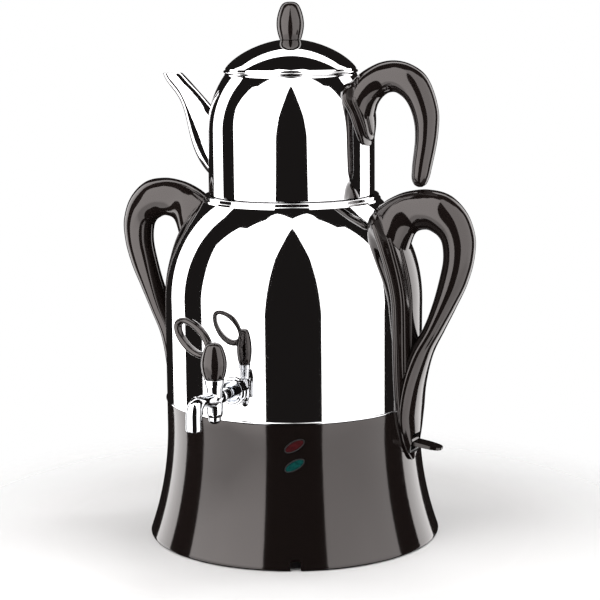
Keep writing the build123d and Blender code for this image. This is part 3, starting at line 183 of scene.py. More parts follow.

# %% [markdown]
# The two lamp lenses are tinted acrylic over small neon lamps. Fine ribs inside them spread the light; they show as a
# slight unevenness of the tint. Unlit, they are nearly black: dark maroon and dark teal, with a faint painted glow in
# the tint's light colour that stands in for the room's light caught inside them.

# %% Lenses and glass
lenses = {}
# each lens's small emission is a painted glow: the lamps are unlit, so it stands in for room light inside the lens
for colour, dark, light, strength in (("red", "#1c0608", "#43171a", 0.012), ("green", "#042120", "#0f4542", 0.015)):
    lenses[colour] = finish(f"tinted_{colour}_acrylic", [(2.2, 1.0, EVEN, {"Base Color": (dark, light)})],
                            IOR=1.49, Roughness=0.06, Coat_Weight=0.5, Coat_Roughness=0.03,
                            Emission_Color=linear(light), Emission_Strength=strength)
# a smoky film inside a used lamp's glass
lamp_glass = finish("clear_lamp_glass", [(5.0, 2.0, EVEN, {"Roughness": (0.02, 0.12)})],
                    Base_Color=linear("#f1ede6"), IOR=1.47, Roughness=0.03, Transmission_Weight=0.9)
FINISH = {
    "black_gloss_plastic": gloss_abs, "black_matte_plastic": satin_abs, "black_rubber": soft_rubber,
    "polished_steel": mirror_steel, "plain_steel": rolled_steel, "cast_aluminium": cast_aluminium,
    "plated_screws": zinc, "tap_chrome": chrome, "valve_brass": turned_brass, "thermostat_resin": resin,
    "red_lamp": lenses["red"], "green_lamp": lenses["green"], "lamp_glass": lamp_glass,
}
for name, node in frame["nodes"].items():
    node.data.materials.clear()
    node.data.materials.append(FINISH[SLOT[name]])
print(len(FINISH), "finishes on", len(frame["nodes"]), "nodes")

# %% [markdown]
# Every piece ends the same way: a plain mesh at the origin, smooth where it is round and crisp where it has an edge,
# riding on the body of the solid that it replaces.

# %% Finishing a piece
def settle(piece, node, edge_degrees=30.0):
    """Shades a piece, and puts it in its CAD node's place."""
    mesh = piece.data
    mesh.polygons.foreach_set("use_smooth", [True] * len(mesh.polygons))
    mesh.set_sharp_from_angle(angle=math.radians(edge_degrees))
    mesh.materials.clear()
    mesh.materials.append(FINISH[SLOT[node]])
    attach(piece, BODY[node])
    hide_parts(node)
    print(f"{piece.name}: {sum(len(p.vertices) - 2 for p in mesh.polygons)} triangles")
    return piece


def new_object(name, mesh):
    made = bpy.data.objects.new(name, mesh)
    bpy.context.scene.collection.objects.link(made)
    return made


def baked(worked, name):
    """The object's evaluated mesh as a new plain object; the worked one goes."""
    bpy.context.view_layer.update()
    graph = bpy.context.evaluated_depsgraph_get()
    mesh = bpy.data.meshes.new_from_object(worked.evaluated_get(graph))
    bpy.data.objects.remove(worked)
    mesh.name = name
    return new_object(name, mesh)


def merged_copy(node, name):
    """A CAD node's mesh as a new object, its loose triangles joined."""
    copy = new_object(name, frame["nodes"][node].data.copy())
    shape = bmesh.new()
    shape.from_mesh(copy.data)
    bmesh.ops.remove_doubles(shape, verts=shape.verts, dist=0.00001)
    shape.to_mesh(copy.data)
    shape.free()
    for layer in list(copy.data.attributes):
        if layer.name == "custom_normal":
            copy.data.attributes.remove(layer)
    return copy


def cut(piece, other, name, how="DIFFERENCE"):
    """Takes the other object's space out of the piece, or joins it to the piece, and clears the slivers left."""
    tool = piece.modifiers.new("cut", "BOOLEAN")
    tool.operation, tool.solver, tool.object = how, "EXACT", other
    result = baked(piece, name)
    bpy.data.objects.remove(other)
    shape = bmesh.new()
    shape.from_mesh(result.data)
    bmesh.ops.remove_doubles(shape, verts=shape.verts, dist=SLIVER)
    bmesh.ops.dissolve_degenerate(shape, dist=SLIVER, edges=shape.edges)
    shape.to_mesh(result.data)
    shape.free()
    return result


# %% [markdown]
# The tank, teapot, lid, seat ring and stand are round: a lathe or a spinning chuck shapes them on the real one. A
# Geometry Nodes tree does the same here. It reads an outline, a chain of points in the XZ plane, and lays a grid
# whose rows are the outline's points and whose columns go round the axis. Its inputs are the outline and the
# number of steps round. A Screw modifier would do as well, but the tree keeps the outline editable.

# %% The turning tree
def turning_tree():
    tree = bpy.data.node_groups.new("turned_piece", "GeometryNodeTree")
    tree.interface.new_socket("Outline", in_out="INPUT", socket_type="NodeSocketGeometry")
    tree.interface.new_socket("Steps Round", in_out="INPUT", socket_type="NodeSocketInt")
    tree.interface.new_socket("Finish", in_out="INPUT", socket_type="NodeSocketMaterial")
    tree.interface.new_socket("Geometry", in_out="OUTPUT", socket_type="NodeSocketGeometry")
    given = add_node(tree, "NodeGroupInput")
    outline, steps, clothing = (given.outputs[n] for n in ("Outline", "Steps Round", "Finish"))
    count = add_node(tree, "GeometryNodeAttributeDomainSize", {"Geometry": outline}).outputs["Point Count"]
    columns = add_node(tree, "ShaderNodeMath", {0: steps, 1: 1.0}, operation="ADD").outputs[0]
    grid = add_node(tree, "GeometryNodeMeshGrid", {"Vertices X": columns, "Vertices Y": count})
    index = add_node(tree, "GeometryNodeInputIndex").outputs["Index"]
    row = add_node(tree, "ShaderNodeMath", {0: index, 1: count}, operation="MODULO").outputs[0]
    share = add_node(tree, "ShaderNodeMath", {0: index, 1: count}, operation="DIVIDE").outputs[0]
    column = add_node(tree, "ShaderNodeMath", {0: share}, operation="FLOOR").outputs[0]
    turn = add_node(tree, "ShaderNodeMath", {0: column, 1: steps}, operation="DIVIDE").outputs[0]
    angle = add_node(tree, "ShaderNodeMath", {0: turn, 1: math.tau}, operation="MULTIPLY").outputs[0]
    where = add_node(tree, "GeometryNodeInputPosition").outputs["Position"]
    point = add_node(tree, "GeometryNodeSampleIndex", {"Geometry": outline, "Index": row},
                     data_type="FLOAT_VECTOR", domain="POINT")
    tree.links.new(where, point.inputs["Value"])
    placed = add_node(tree, "ShaderNodeVectorRotate",
                      {"Vector": point.outputs["Value"], "Axis": (0, 0, 1), "Angle": angle},
                      rotation_type="AXIS_ANGLE")
    spun = add_node(tree, "GeometryNodeSetPosition",
                    {"Geometry": grid.outputs["Mesh"], "Position": placed.outputs["Vector"]})
    welded = add_node(tree, "GeometryNodeMergeByDistance",
                      {"Geometry": spun.outputs["Geometry"], "Distance": WELD})
    real = add_node(tree, "GeometryNodeRealizeInstances", {"Geometry": welded.outputs["Geometry"]})
    clad = add_node(tree, "GeometryNodeSetMaterial", {"Geometry": real.outputs["Geometry"], "Material": clothing})
    add_node(tree, "NodeGroupOutput", {"Geometry": clad.outputs["Geometry"]})
    return tree


def run_tree(tree, mesh, name, **inputs):
    """Runs a tree on a mesh with its named inputs, and returns the result as a plain object."""
    base = new_object(name + "_base", mesh)
    nodes = base.modifiers.new("nodes", "NODES")
    nodes.node_group = tree
    sockets = {item.name: item.identifier for item in tree.interface.items_tree if item.in_out == "INPUT"}
    for key, value in inputs.items():
        nodes[sockets[key.replace("_", " ")]] = value
    return baked(base, name)


def turned(name, points, steps=256, skin=mirror_steel):
    """A turned piece from (radius, height) points in millimetres; closed if its last point is its first."""
    chain = bpy.data.meshes.new(name + "_outline")
    chain.from_pydata([(r * MM, 0, z * MM) for r, z in points], [(i, i + 1) for i in range(len(points) - 1)], [])
    piece = run_tree(TURNING, chain, name, Steps_Round=steps, Finish=skin)
    shape = bmesh.new()
    shape.from_mesh(piece.data)
    bmesh.ops.dissolve_degenerate(shape, dist=0.000001, edges=shape.edges)
    bmesh.ops.recalc_face_normals(shape, faces=shape.faces)
    shape.to_mesh(piece.data)
    shape.free()
    return piece


TURNING = turning_tree()
print(TURNING.name, "with", len(TURNING.nodes), "nodes")

# %% [markdown]
# Outlines are made of straight runs and arcs. An arc is sampled finely, because a mirror shows every facet.

# %% Outline helpers
def arc(centre, radius, start, end, count=24):
    """Points on an arc, angles in degrees from +radius towards +height."""
    turns = np.radians(np.linspace(start, end, count))
    return [(centre[0] + radius * math.cos(t), centre[1] + radius * math.sin(t)) for t in turns]


def run(start, end, count):
    """Points along a straight line, the first left out."""
    return [(start[0] + (end[0] - start[0]) * k / count, start[1] + (end[1] - start[1]) * k / count)
            for k in range(1, count + 1)]


print(len(arc((0, 0), 1, 0, 90)), "points in a quarter round")

# %% [markdown]
# The tank is drawn and spun from one steel disc: a straight wall, a shoulder that closes in like half an egg, and a
# lower edge rolled outwards into a hem. Its outline goes up the outer face and comes back down the inner one.

# %% Tank shell
def shoulder(half_width, half_height, top, count=90):
    """The egg-shaped shoulder from the straight wall up to a height."""
    last = math.asin((top - TANK_TOP_START) / half_height)
    return [(half_width * math.cos(t), TANK_TOP_START + half_height * math.sin(t))
            for t in np.linspace(0, last, count)]


def bar(name, outline, near, far, azimuth, height):
    """A straight bar along a radius, from an outline of (across, up) points around a height, as a cutter."""
    shape = bmesh.new()
    rings = [[shape.verts.new((x * MM, -s * MM, (height + z) * MM)) for x, z in outline] for s in (near, far)]
    shape.faces.new(rings[0])
    shape.faces.new(rings[1][::-1])
    for k in range(len(outline)):
        n = (k + 1) % len(outline)
        shape.faces.new((rings[0][n], rings[0][k], rings[1][k], rings[1][n]))
    bmesh.ops.recalc_face_normals(shape, faces=shape.faces)
    bmesh.ops.transform(shape, matrix=Matrix.Rotation(math.radians(azimuth), 4, "Z"), verts=shape.verts)
    mesh = bpy.data.meshes.new(name)
    shape.to_mesh(mesh)
    shape.free()
    return new_object(name, mesh)


def oval(length, width, tilt=0.0, count=48):
    """An oval's points, its long side turned up by tilt degrees."""
    c, s = math.cos(math.radians(tilt)), math.sin(math.radians(tilt))
    points = [(length / 2 * math.cos(t), width / 2 * math.sin(t)) for t in np.linspace(0, math.tau, count + 1)[:-1]]
    return [(x * c - z * s, x * s + z * c) for x, z in points]


tank_outline = (arc((99.95, 109.2), 0.9, -180, 86.8)
                + run((TANK_RADIUS, 110.1), (TANK_RADIUS, TANK_TOP_START), 6)[:-1]
                + shoulder(TANK_RADIUS, TANK_RISE, 264.4) + [(67.6, 264.4), (67.6, 263.4)]
                + shoulder(TANK_RADIUS - 1, TANK_RISE - 1, 263.4)[::-1] + [(99, 109.2), (99.05, 109.2)])
tank = turned("tank_shell_polished", tank_outline, 320)
tank = cut(tank, bar("tap_bore", oval(10, 10), 80, 110, 0, TAP_HEIGHT), "tank_shell_polished")
settle(tank, "tank_shell", 25)

# %% [markdown]
# The teapot's wall stands on a small turned-in foot. Its shoulder is one arc that ends in the mouth, whose lip is
# rounded so that it is safe to touch.

# %% Teapot body and lid
def pot_shoulder(radius, top, count=70):
    """The teapot's shoulder, one arc from its straight wall up to a height."""
    last = math.asin((top - POT_TOP_START) / radius)
    return [(POT_CURVE_CENTRE + radius * math.cos(t), POT_TOP_START + radius * math.sin(t))
            for t in np.linspace(0, last, count)]


pot_outline = ([(0, 263.0)] + run((0, 263.0), (62.2, 263.0), 4) + arc((62.2, 264.0), 1.0, -90, 0, 10)[1:]
               + run((63.2, 264.0), (63.2, 268.2), 3) + arc((63.9, 268.7), 0.7, 225, 180, 5)[::-1][1:]
               + arc((62.9, 270.2), 1.6, -50, 0, 12) + run((POT_RADIUS, 270.2), (POT_RADIUS, POT_TOP_START), 5)[:-1]
               + pot_shoulder(POT_CURVE, 360.9) + arc((50.55, 361.45), 0.45, 0, 90, 8)
               + arc((49.65, 361.45), 0.45, 90, 180, 8)
               + [(49.2, 360.4)] + pot_shoulder(POT_CURVE - 1, 360.4)[::-1]
               + [(63.5, 270.2), (62.2, 268.6), (62.2, 264.0), (0, 264.0)])
pot = turned("teapot_body_polished", pot_outline, 288)


def dome(rim, rise, low_radius, high_radius, count=90):
    """The lid's full-shouldered dome from near its axis out to its edge."""
    first, last = (math.acos((radius / rim) ** 0.9) for radius in (low_radius, high_radius))
    return [(rim * math.cos(t) ** (2 / 1.8), LID_EDGE + rise * math.sin(t) ** (2 / 1.4))
            for t in np.linspace(first, last, count)]


lid_outline = (dome(51.5, 24.4, 2.2, 50.4) + arc((50.925, LID_EDGE), 0.9, 128, -90, 28) + [(48.75, 363.0)]
               + arc((48.75, 362.55), 0.45, 90, 180, 5) + run((48.3, 362.5), (48.3, 357.0), 2)
               + arc((47.8, 357.0), 0.5, 0, -180, 8)[1:] + run((47.3, 357.0), (47.3, 363.9), 2)
               + dome(50.4, 23.4, 2.2, 49.2)[::-1])
lid_outline.append(lid_outline[0])
lid = turned("teapot_lid_polished", lid_outline[::-1], 288)
settle(lid, "teapot_lid", 40)

# %% [markdown]
# A ring closes the tank's mouth and holds the teapot. Steam leaves through small holes in its top: five at the
# front and five at the back. Holes that repeat are Geometry Nodes work: points on an arc, a cylinder on each, and a
# boolean that takes them out.

# %% Rows of holes
def holes_tree():
    tree = bpy.data.node_groups.new("holes_on_an_arc", "GeometryNodeTree")
    tree.interface.new_socket("Piece", in_out="INPUT", socket_type="NodeSocketGeometry")
    for name in ("Hole Radius", "Circle Radius", "Height", "Depth", "First Angle", "Pitch Angle"):
        tree.interface.new_socket(name, in_out="INPUT", socket_type="NodeSocketFloat")
    tree.interface.new_socket("Count", in_out="INPUT", socket_type="NodeSocketInt")
    tree.interface.new_socket("Finish", in_out="INPUT", socket_type="NodeSocketMaterial")
    tree.interface.new_socket("Geometry", in_out="OUTPUT", socket_type="NodeSocketGeometry")
    given = add_node(tree, "NodeGroupInput").outputs
    points = add_node(tree, "GeometryNodePoints", {"Count": given["Count"]}).outputs[0]
    index = add_node(tree, "GeometryNodeInputIndex").outputs["Index"]
    along = add_node(tree, "ShaderNodeMath", {0: index, 1: given["Pitch Angle"]}, operation="MULTIPLY").outputs[0]
    angle = add_node(tree, "ShaderNodeMath", {0: along, 1: given["First Angle"]}, operation="ADD").outputs[0]
    start = add_node(tree, "ShaderNodeCombineXYZ", {"Y": given["Circle Radius"], "Z": given["Height"]}).outputs[0]
    place = add_node(tree, "ShaderNodeVectorRotate", {"Vector": start, "Axis": (0, 0, 1), "Angle": angle},
                     rotation_type="AXIS_ANGLE").outputs["Vector"]
    spots = add_node(tree, "GeometryNodeSetPosition", {"Geometry": points, "Position": place}).outputs[0]
    pin = add_node(tree, "GeometryNodeMeshCylinder",
                   {"Vertices": 24, "Radius": given["Hole Radius"], "Depth": given["Depth"]}).outputs["Mesh"]
    pins = add_node(tree, "GeometryNodeInstanceOnPoints", {"Points": spots, "Instance": pin}).outputs[0]
    real = add_node(tree, "GeometryNodeRealizeInstances", {"Geometry": pins}).outputs[0]
    drilled = add_node(tree, "GeometryNodeMeshBoolean", {"Mesh 1": given["Piece"], "Mesh 2": real},
                       operation="DIFFERENCE", solver="EXACT").outputs["Mesh"]
    clad = add_node(tree, "GeometryNodeSetMaterial", {"Geometry": drilled, "Material": given["Finish"]})
    add_node(tree, "NodeGroupOutput", {"Geometry": clad.outputs["Geometry"]})
    return tree


def drilled(piece, name, tree, **inputs):
    mesh = piece.data
    bpy.data.objects.remove(piece)
    return run_tree(tree, mesh, name, **inputs)


HOLES = holes_tree()
ring_outline = ([(65.1, 269.0), (63.7, 267.4), (63.7, 262.8), (57.5, 262.8), (57.5, 261.3), (67.3, 261.3),
                 (67.3, 264.4), (69.2, 264.4)] + arc((68.4, 265.6), 0.8, 0, 90, 10) + [(67.9, 266.4)]
                + arc((67.1, 268.2), 0.8, 0, 90, 10) + [(65.1, 269.0)])
seat = turned("seat_ring_polished", ring_outline, 288)
pitch = math.radians(8.8)
for facing in (math.pi, 0.0):
    seat = drilled(seat, "seat_ring_polished", HOLES, Hole_Radius=0.85 * MM, Circle_Radius=66.1 * MM,
                   Height=265.5 * MM, Depth=12 * MM, First_Angle=facing - 2 * pitch, Pitch_Angle=pitch, Count=5,
                   Finish=mirror_steel)
settle(seat, "seat_ring", 30)
settle(pot, "teapot_body", 30)

# %% [markdown]
# The stand is one big moulding. Its wall falls straight from the tank's seam and then flares out in one long arc.
# The slots for the cord, the lamps' windows and the switch's window are cut through it.

# %% Stand
def flare(offset, count=60):
    """The flared wall from its foot up to where it runs straight."""
    radius = FLARE_RADIUS - offset
    return [(FLARE_CENTRE - math.sqrt(radius**2 - (FLARE_TOP - z) ** 2), z)
            for z in np.linspace(1.8, FLARE_TOP, count)]


outer, inner = flare(0), flare(-2.6)
foot = (outer[0][0] + inner[0][0]) / 2
stand_outline = (arc((foot, 1.8), (outer[0][0] - inner[0][0]) / 2, -180, 0, 12) + outer
                 + run((TANK_RADIUS, FLARE_TOP), (TANK_RADIUS, 107.7), 2) + arc((99.4, 107.7), 0.6, 0, 90, 8)[1:]
                 + [(98.8, 108.3), (98.8, 110.9), (95.8, 110.9), (95.8, 102.7), (97.4, 99.7), (97.4, FLARE_TOP)]
                 + inner[::-1])
stand = turned("stand_moulded", stand_outline, 320, gloss_abs)
arch = [(-3.9, -9)] + [(3.9, -9)] + arc((1.5, 6.2), 2.4, 0, 90, 8) + arc((-1.5, 6.2), 2.4, 90, 180, 8)
window = [(-8.6, -7.6), (8.6, -7.6), (8.6, 7.6), (-8.6, 7.6)]
for name, outline, azimuth, height in (
        ("front_slot", arch, LAMP_AZIMUTH, 0), ("cord_slot", arch, 180, 0),
        ("switch_window", window, LEVER_AZIMUTH, LEVER_HEIGHT),
        ("red_window", oval(17.0, 7.8, 29.6), LAMP_AZIMUTH, 92.4),
        ("green_window", oval(17.0, 7.8, 29.6), LAMP_AZIMUTH, 77.6)):
    stand = cut(stand, bar(name, outline, 85, 125, azimuth, height), "stand_moulded")
settle(stand, "base_skirt", 30)
ledge = turned("stand_inner_ledge", [(104, 6.2), (110.9, 6.2), (110.9, 8.4), (104, 8.4), (104, 6.2)], 192, gloss_abs)
settle(ledge, "base_skirt", 30)

# %% [markdown]
# The handles and the tap have arms whose oval section changes all along a curved path. A Geometry Nodes tree lays
# such a skin: its rows are the stations along the path, and each station carries its half height and its half width
# as named attributes. The arm's root fans out where it meets what carries it, as a moulding does to be strong.

# %% The arm tree
def arm_tree():
    tree = bpy.data.node_groups.new("arm_through_ovals", "GeometryNodeTree")
    tree.interface.new_socket("Path", in_out="INPUT", socket_type="NodeSocketGeometry")
    tree.interface.new_socket("Steps Round", in_out="INPUT", socket_type="NodeSocketInt")
    tree.interface.new_socket("Finish", in_out="INPUT", socket_type="NodeSocketMaterial")
    tree.interface.new_socket("Geometry", in_out="OUTPUT", socket_type="NodeSocketGeometry")
    given = add_node(tree, "NodeGroupInput").outputs
    count = add_node(tree, "GeometryNodeAttributeDomainSize", {"Geometry": given["Path"]}).outputs["Point Count"]
    columns = add_node(tree, "ShaderNodeMath", {0: given["Steps Round"], 1: 1.0}, operation="ADD").outputs[0]
    grid = add_node(tree, "GeometryNodeMeshGrid", {"Vertices X": columns, "Vertices Y": count}).outputs["Mesh"]
    index = add_node(tree, "GeometryNodeInputIndex").outputs["Index"]
    row = add_node(tree, "ShaderNodeMath", {0: index, 1: count}, operation="MODULO").outputs[0]
    share = add_node(tree, "ShaderNodeMath", {0: index, 1: count}, operation="DIVIDE").outputs[0]
    column = add_node(tree, "ShaderNodeMath", {0: share}, operation="FLOOR").outputs[0]
    turn = add_node(tree, "ShaderNodeMath", {0: column, 1: given["Steps Round"]}, operation="DIVIDE").outputs[0]
    angle = add_node(tree, "ShaderNodeMath", {0: turn, 1: math.tau}, operation="MULTIPLY").outputs[0]
    cosine = add_node(tree, "ShaderNodeMath", {0: angle}, operation="COSINE").outputs[0]
    sine = add_node(tree, "ShaderNodeMath", {0: angle}, operation="SINE").outputs[0]
    place = add_node(tree, "GeometryNodeInputPosition").outputs["Position"]
    total = None
    for name, factor in (("", None), ("half_height", cosine), ("half_width", sine)):
        what = place if not name else add_node(tree, "GeometryNodeInputNamedAttribute", {"Name": name},
                                               data_type="FLOAT_VECTOR").outputs["Attribute"]
        found = add_node(tree, "GeometryNodeSampleIndex",
                         {"Geometry": given["Path"], "Value": what, "Index": row},
                         data_type="FLOAT_VECTOR", domain="POINT").outputs["Value"]
        if factor is None:
            total = found
            continue
        scaled = add_node(tree, "ShaderNodeVectorMath", {0: found, "Scale": factor}, operation="SCALE").outputs[0]
        total = add_node(tree, "ShaderNodeVectorMath", {0: total, 1: scaled}, operation="ADD").outputs[0]
    laid = add_node(tree, "GeometryNodeSetPosition", {"Geometry": grid, "Position": total}).outputs[0]
    welded = add_node(tree, "GeometryNodeMergeByDistance", {"Geometry": laid, "Distance": WELD}).outputs[0]
    real = add_node(tree, "GeometryNodeRealizeInstances", {"Geometry": welded}).outputs[0]
    clad = add_node(tree, "GeometryNodeSetMaterial", {"Geometry": real, "Material": given["Finish"]})
    add_node(tree, "NodeGroupOutput", {"Geometry": clad.outputs["Geometry"]})
    return tree


def smooth_line(points, count, closed_ends=False):
    """Points evenly along a smooth line through the given ones, of any number of columns."""
    knots = np.array(points, float)
    steps = np.concatenate([[0], np.cumsum(np.linalg.norm(np.diff(knots, axis=0), axis=1) ** 0.7)])
    slopes = np.gradient(knots, steps, axis=0, edge_order=1)
    if closed_ends:
        reach = np.linalg.norm(slopes, axis=1)
        slopes[0], slopes[-1] = 0, 0
        slopes[0, 0], slopes[-1, 0] = reach[0], -reach[-1]
    found = []
    for t in np.linspace(0, steps[-1], count):
        k = min(np.searchsorted(steps, t, side="right") - 1, len(steps) - 2)
        span = steps[k + 1] - steps[k]
        u = (t - steps[k]) / span
        found.append((2 * u**3 - 3 * u**2 + 1) * knots[k] + (u**3 - 2 * u**2 + u) * span * slopes[k]
                     + (3 * u**2 - 2 * u**3) * knots[k + 1] + (u**3 - u**2) * span * slopes[k + 1])
    return np.array(found)


ARM = arm_tree()


def arm(name, sections, base=0.0, steps=72, stations=300):
    """A closed arm through ovals given as (outer edge, inner edge, half width), in the XZ plane."""
    rows = smooth_line([(*outer, *inner, half) for outer, inner, half in sections], stations) * MM
    chain = bpy.data.meshes.new(name + "_path")
    middle = [((x0 + x1) / 2, 0, (z0 + z1) / 2 + base * MM) for x0, z0, x1, z1, _ in rows]
    chain.from_pydata(middle, [(k, k + 1) for k in range(stations - 1)], [])
    for label, values in (("half_height", [((x0 - x1) / 2, 0, (z0 - z1) / 2) for x0, z0, x1, z1, _ in rows]),
                          ("half_width", [(0, half, 0) for *_, half in rows])):
        layer = chain.attributes.new(label, "FLOAT_VECTOR", "POINT")
        layer.data.foreach_set("vector", np.array(values).ravel())
    skin = run_tree(ARM, chain, name, Steps_Round=steps, Finish=gloss_abs)
    shape = bmesh.new()
    shape.from_mesh(skin.data)
    bmesh.ops.holes_fill(shape, edges=[e for e in shape.edges if e.is_boundary], sides=0)
    bmesh.ops.recalc_face_normals(shape, faces=shape.faces)
    shape.to_mesh(skin.data)
    shape.free()
    return skin


print(ARM.name, "with", len(ARM.nodes), "nodes")

# %% [markdown]
# A handle sits on its vessel by a saddle: a thin flange, a thicker pad on it and a low spine, each with a rounded
# edge. The plate is a stack of closed rings, and every ring is laid on the vessel's own profile at its thickness.
# The arm is joined to it, and the vessel's space is cut away beneath, so the saddle fits the steel all over.

# %% Saddle plates
def offset_profile(profile, distance):
    """A vessel's (radius, height) profile moved outwards."""
    line = np.array(profile)
    along = np.gradient(line, axis=0)
    along /= np.linalg.norm(along, axis=1)[:, None]
    return line + np.stack([along[:, 1], -along[:, 0]], axis=1) * distance


def plate(name, levels, wall, edge=0.9):
    """A stepped plate that hugs a vessel; levels are (outline, thickness), from the flange up to the spine."""
    curves = [smooth_line(outline, 120, closed_ends=True) for outline, _ in levels]
    sunk = -0.6  # the underside starts inside the vessel, and is cut off later
    rings = [(curves[0], 0.0, sunk), (curves[0], 1.0, sunk)]
    below = 0.0
    for k, (curve, (_, top)) in enumerate(zip(curves, levels)):
        if k:
            last = offset_profile(curves[k - 1], -edge)
            # a nearly flat step that turns up into the next level
            for share, rise in ((0.45, 0.0), (0.82, 0.02), (0.92, 0.12), (0.98, 0.35)):
                rings.append((last * (1 - share) + curve * share, 1.0, below + (top - edge - below) * rise))
        for turn in np.radians((0, 18, 36, 54, 72, 90)):
            rings.append((offset_profile(curve, -edge * (1 - math.cos(turn))), 1.0,
                          top - edge + edge * math.sin(turn)))
        below = top
    inner = offset_profile(curves[-1], -edge)
    rings += [(inner, share, below + 0.3 * (1 - share**2)) for share in (0.85, 0.7, 0.5, 0.3, 0.15, 0.0)]
    points = []
    for curve, share, thick in rings:
        surface = offset_profile(wall, thick)
        line = [(max(half, 0) * share, z) for half, z in curve]
        line += [(-half, z) for half, z in line[-2:0:-1]]
        for y, z in line:
            radius = np.interp(z, surface[:, 1], surface[:, 0])
            points.append((math.sqrt(radius**2 - y**2) * MM, y * MM, z * MM))
    count = len(points) // len(rings)
    mesh = bpy.data.meshes.new(name)
    mesh.from_pydata(points, [], [(r * count + c, r * count + (c + 1) % count, (r + 1) * count + (c + 1) % count,
                                   (r + 1) * count + c) for r in range(len(rings) - 1) for c in range(count)])
    shape = bmesh.new()
    shape.from_mesh(mesh)
    bmesh.ops.remove_doubles(shape, verts=shape.verts, dist=0.00002)
    bmesh.ops.dissolve_degenerate(shape, dist=0.000005, edges=shape.edges)
    bmesh.ops.recalc_face_normals(shape, faces=shape.faces)
    print(name, "open edges:", sum(not e.is_manifold for e in shape.edges))
    shape.to_mesh(mesh)
    shape.free()
    return new_object(name, mesh)


# %% Handles of the tank
TANK_WALL = ([(FLARE_CENTRE - math.sqrt(FLARE_RADIUS**2 - (FLARE_TOP - z) ** 2), z)
              for z in np.linspace(40, FLARE_TOP, 40)[:-1]]
             + [(100.0, z) for z in np.linspace(FLARE_TOP, TANK_TOP_START, 60)]
             + shoulder(TANK_RADIUS, TANK_RISE, 270, 80)[1:])
# the loop from its root on the shoulder, round the top and down into its foot
LOOP = (((74.0, 262.5), (93.5, 205.0), 17.5), ((84.5, 269.5), (97.0, 226.0), 15.5),
        ((98.0, 274.8), (103.8, 243.0), 11.8), ((114.0, 276.8), (113.0, 246.5), 12.3),
        ((131.0, 273.3), (120.5, 244.0), 13.0), ((144.5, 261.0), (125.0, 240.0), 12.5),
        ((151.5, 243.0), (127.0, 234.0), 12.0), ((151.0, 226.0), (127.3, 224.0), 11.5),
        ((145.8, 207.0), (124.6, 210.5), 11.0), ((136.8, 188.0), (119.6, 192.0), 11.0),
        ((127.0, 169.0), (112.3, 172.5), 12.0), ((117.5, 150.0), (100.0, 151.0), 14.5),
        ((110.8, 126.0), (94.0, 129.0), 18.5), ((108.0, 104.0), (92.0, 104.0), 20.5),
        ((107.0, 86.0), (92.0, 86.0), 15.0), ((105.6, 74.0), (92.0, 74.0), 8.5), ((103.6, 67.6), (92.0, 67.6), 2.5))
# outlines of the saddle's three levels: half width at each height
TANK_SADDLE = ((0.0, 66.8), (11.0, 76.5), (19.0, 97.0), (23.0, 120.0), (25.8, 180.0), (27.0, 234.0),
               (20.5, 252.5), (0.0, 259.5))


def vessel_space(name, profile, gap):
    """The space inside a vessel, as a cutter."""
    line = [tuple(p) for p in offset_profile(profile, gap)]
    return turned(name, [(0, line[0][1])] + line + [(0, line[-1][1])], 256)


TANK_PAD = ((0.0, 73.0), (5.5, 81.0), (11.5, 97.0), (15.3, 120.0), (17.6, 180.0), (18.4, 231.0), (13.5, 245.5),
            (0.0, 250.5))
TANK_SPINE = ((0.0, 80.0), (3.0, 86.0), (7.0, 100.0), (8.6, 120.0), (9.6, 180.0), (10.0, 226.0), (7.0, 237.5),
              (0.0, 241.0))
handle = plate("tank_saddle", ((TANK_SADDLE, 2.0), (TANK_PAD, 4.2), (TANK_SPINE, 5.6)), TANK_WALL)
handle = cut(handle, arm("tank_arm", LOOP), "right_handle_moulded", "UNION")
handle = cut(handle, vessel_space("tank_space", TANK_WALL, SEAT_GAP), "right_handle_moulded")
mirrored = new_object("left_handle_moulded", handle.data.copy())
mirrored.data.transform(Matrix.Rotation(math.pi, 4, "Z"))
settle(mirrored, "left_handle", 50)
snout = [(-8.7, -7.7), (8.7, -7.7), (8.7, 7.7), (-8.7, 7.7)]
handle = cut(handle, bar("lever_window", snout, 90, 125, LEVER_AZIMUTH, LEVER_HEIGHT), "right_handle_moulded")
settle(handle, "right_handle", 50)

# %% Handle of the teapot
POT_WALL = ([(POT_RADIUS, z) for z in np.linspace(275, POT_TOP_START, 30)[:-1]]
            + pot_shoulder(POT_CURVE, 361.5, 60))
# the hook from its root to its free end, heights counted from the teapot's mouth
HOOK = (((53.0, -3.5), (67.5, -37.0), 15.5), ((63.5, 4.5), (71.5, -22.5), 13.5), ((77.0, 10.5), (80.0, -13.5), 11.2),
        ((88.0, 11.6), (87.2, -12.0), 11.0),
        ((99.5, 9.0), (93.5, -15.0), 10.8), ((111.0, 1.5), (98.5, -20.5), 10.5), ((121.6, -24.0), (103.6, -34.5), 9.6),
        ((121.6, -41.0), (104.3, -46.0), 9.2), ((116.6, -67.5), (101.8, -69.4), 8.2),
        ((114.6, -75.6), (101.7, -76.8), 7.4), ((112.4, -80.4), (103.6, -81.0), 4.8),
        ((109.6, -82.4), (106.4, -82.6), 1.6))
POT_SADDLE, POT_PAD, POT_SPINE = (
    tuple((half, POT_MOUTH + drop) for half, drop in outline) for outline in (
        ((0.0, -53.0), (9.5, -50.5), (17.0, -39.0), (20.5, -27.5), (23.5, -16.5), (18.5, -9.5), (0.0, -6.5)),
        ((0.0, -48.5), (5.5, -46.5), (11.0, -37.0), (14.5, -27.5), (16.5, -18.5), (12.5, -13.0), (0.0, -11.0)),
        ((0.0, -45.0), (3.0, -43.5), (6.0, -36.5), (8.0, -27.5), (8.8, -20.5), (6.5, -17.0), (0.0, -15.5))))
handle = plate("pot_saddle", ((POT_SADDLE, 1.9), (POT_PAD, 3.8), (POT_SPINE, 5.0)), POT_WALL, 0.8)
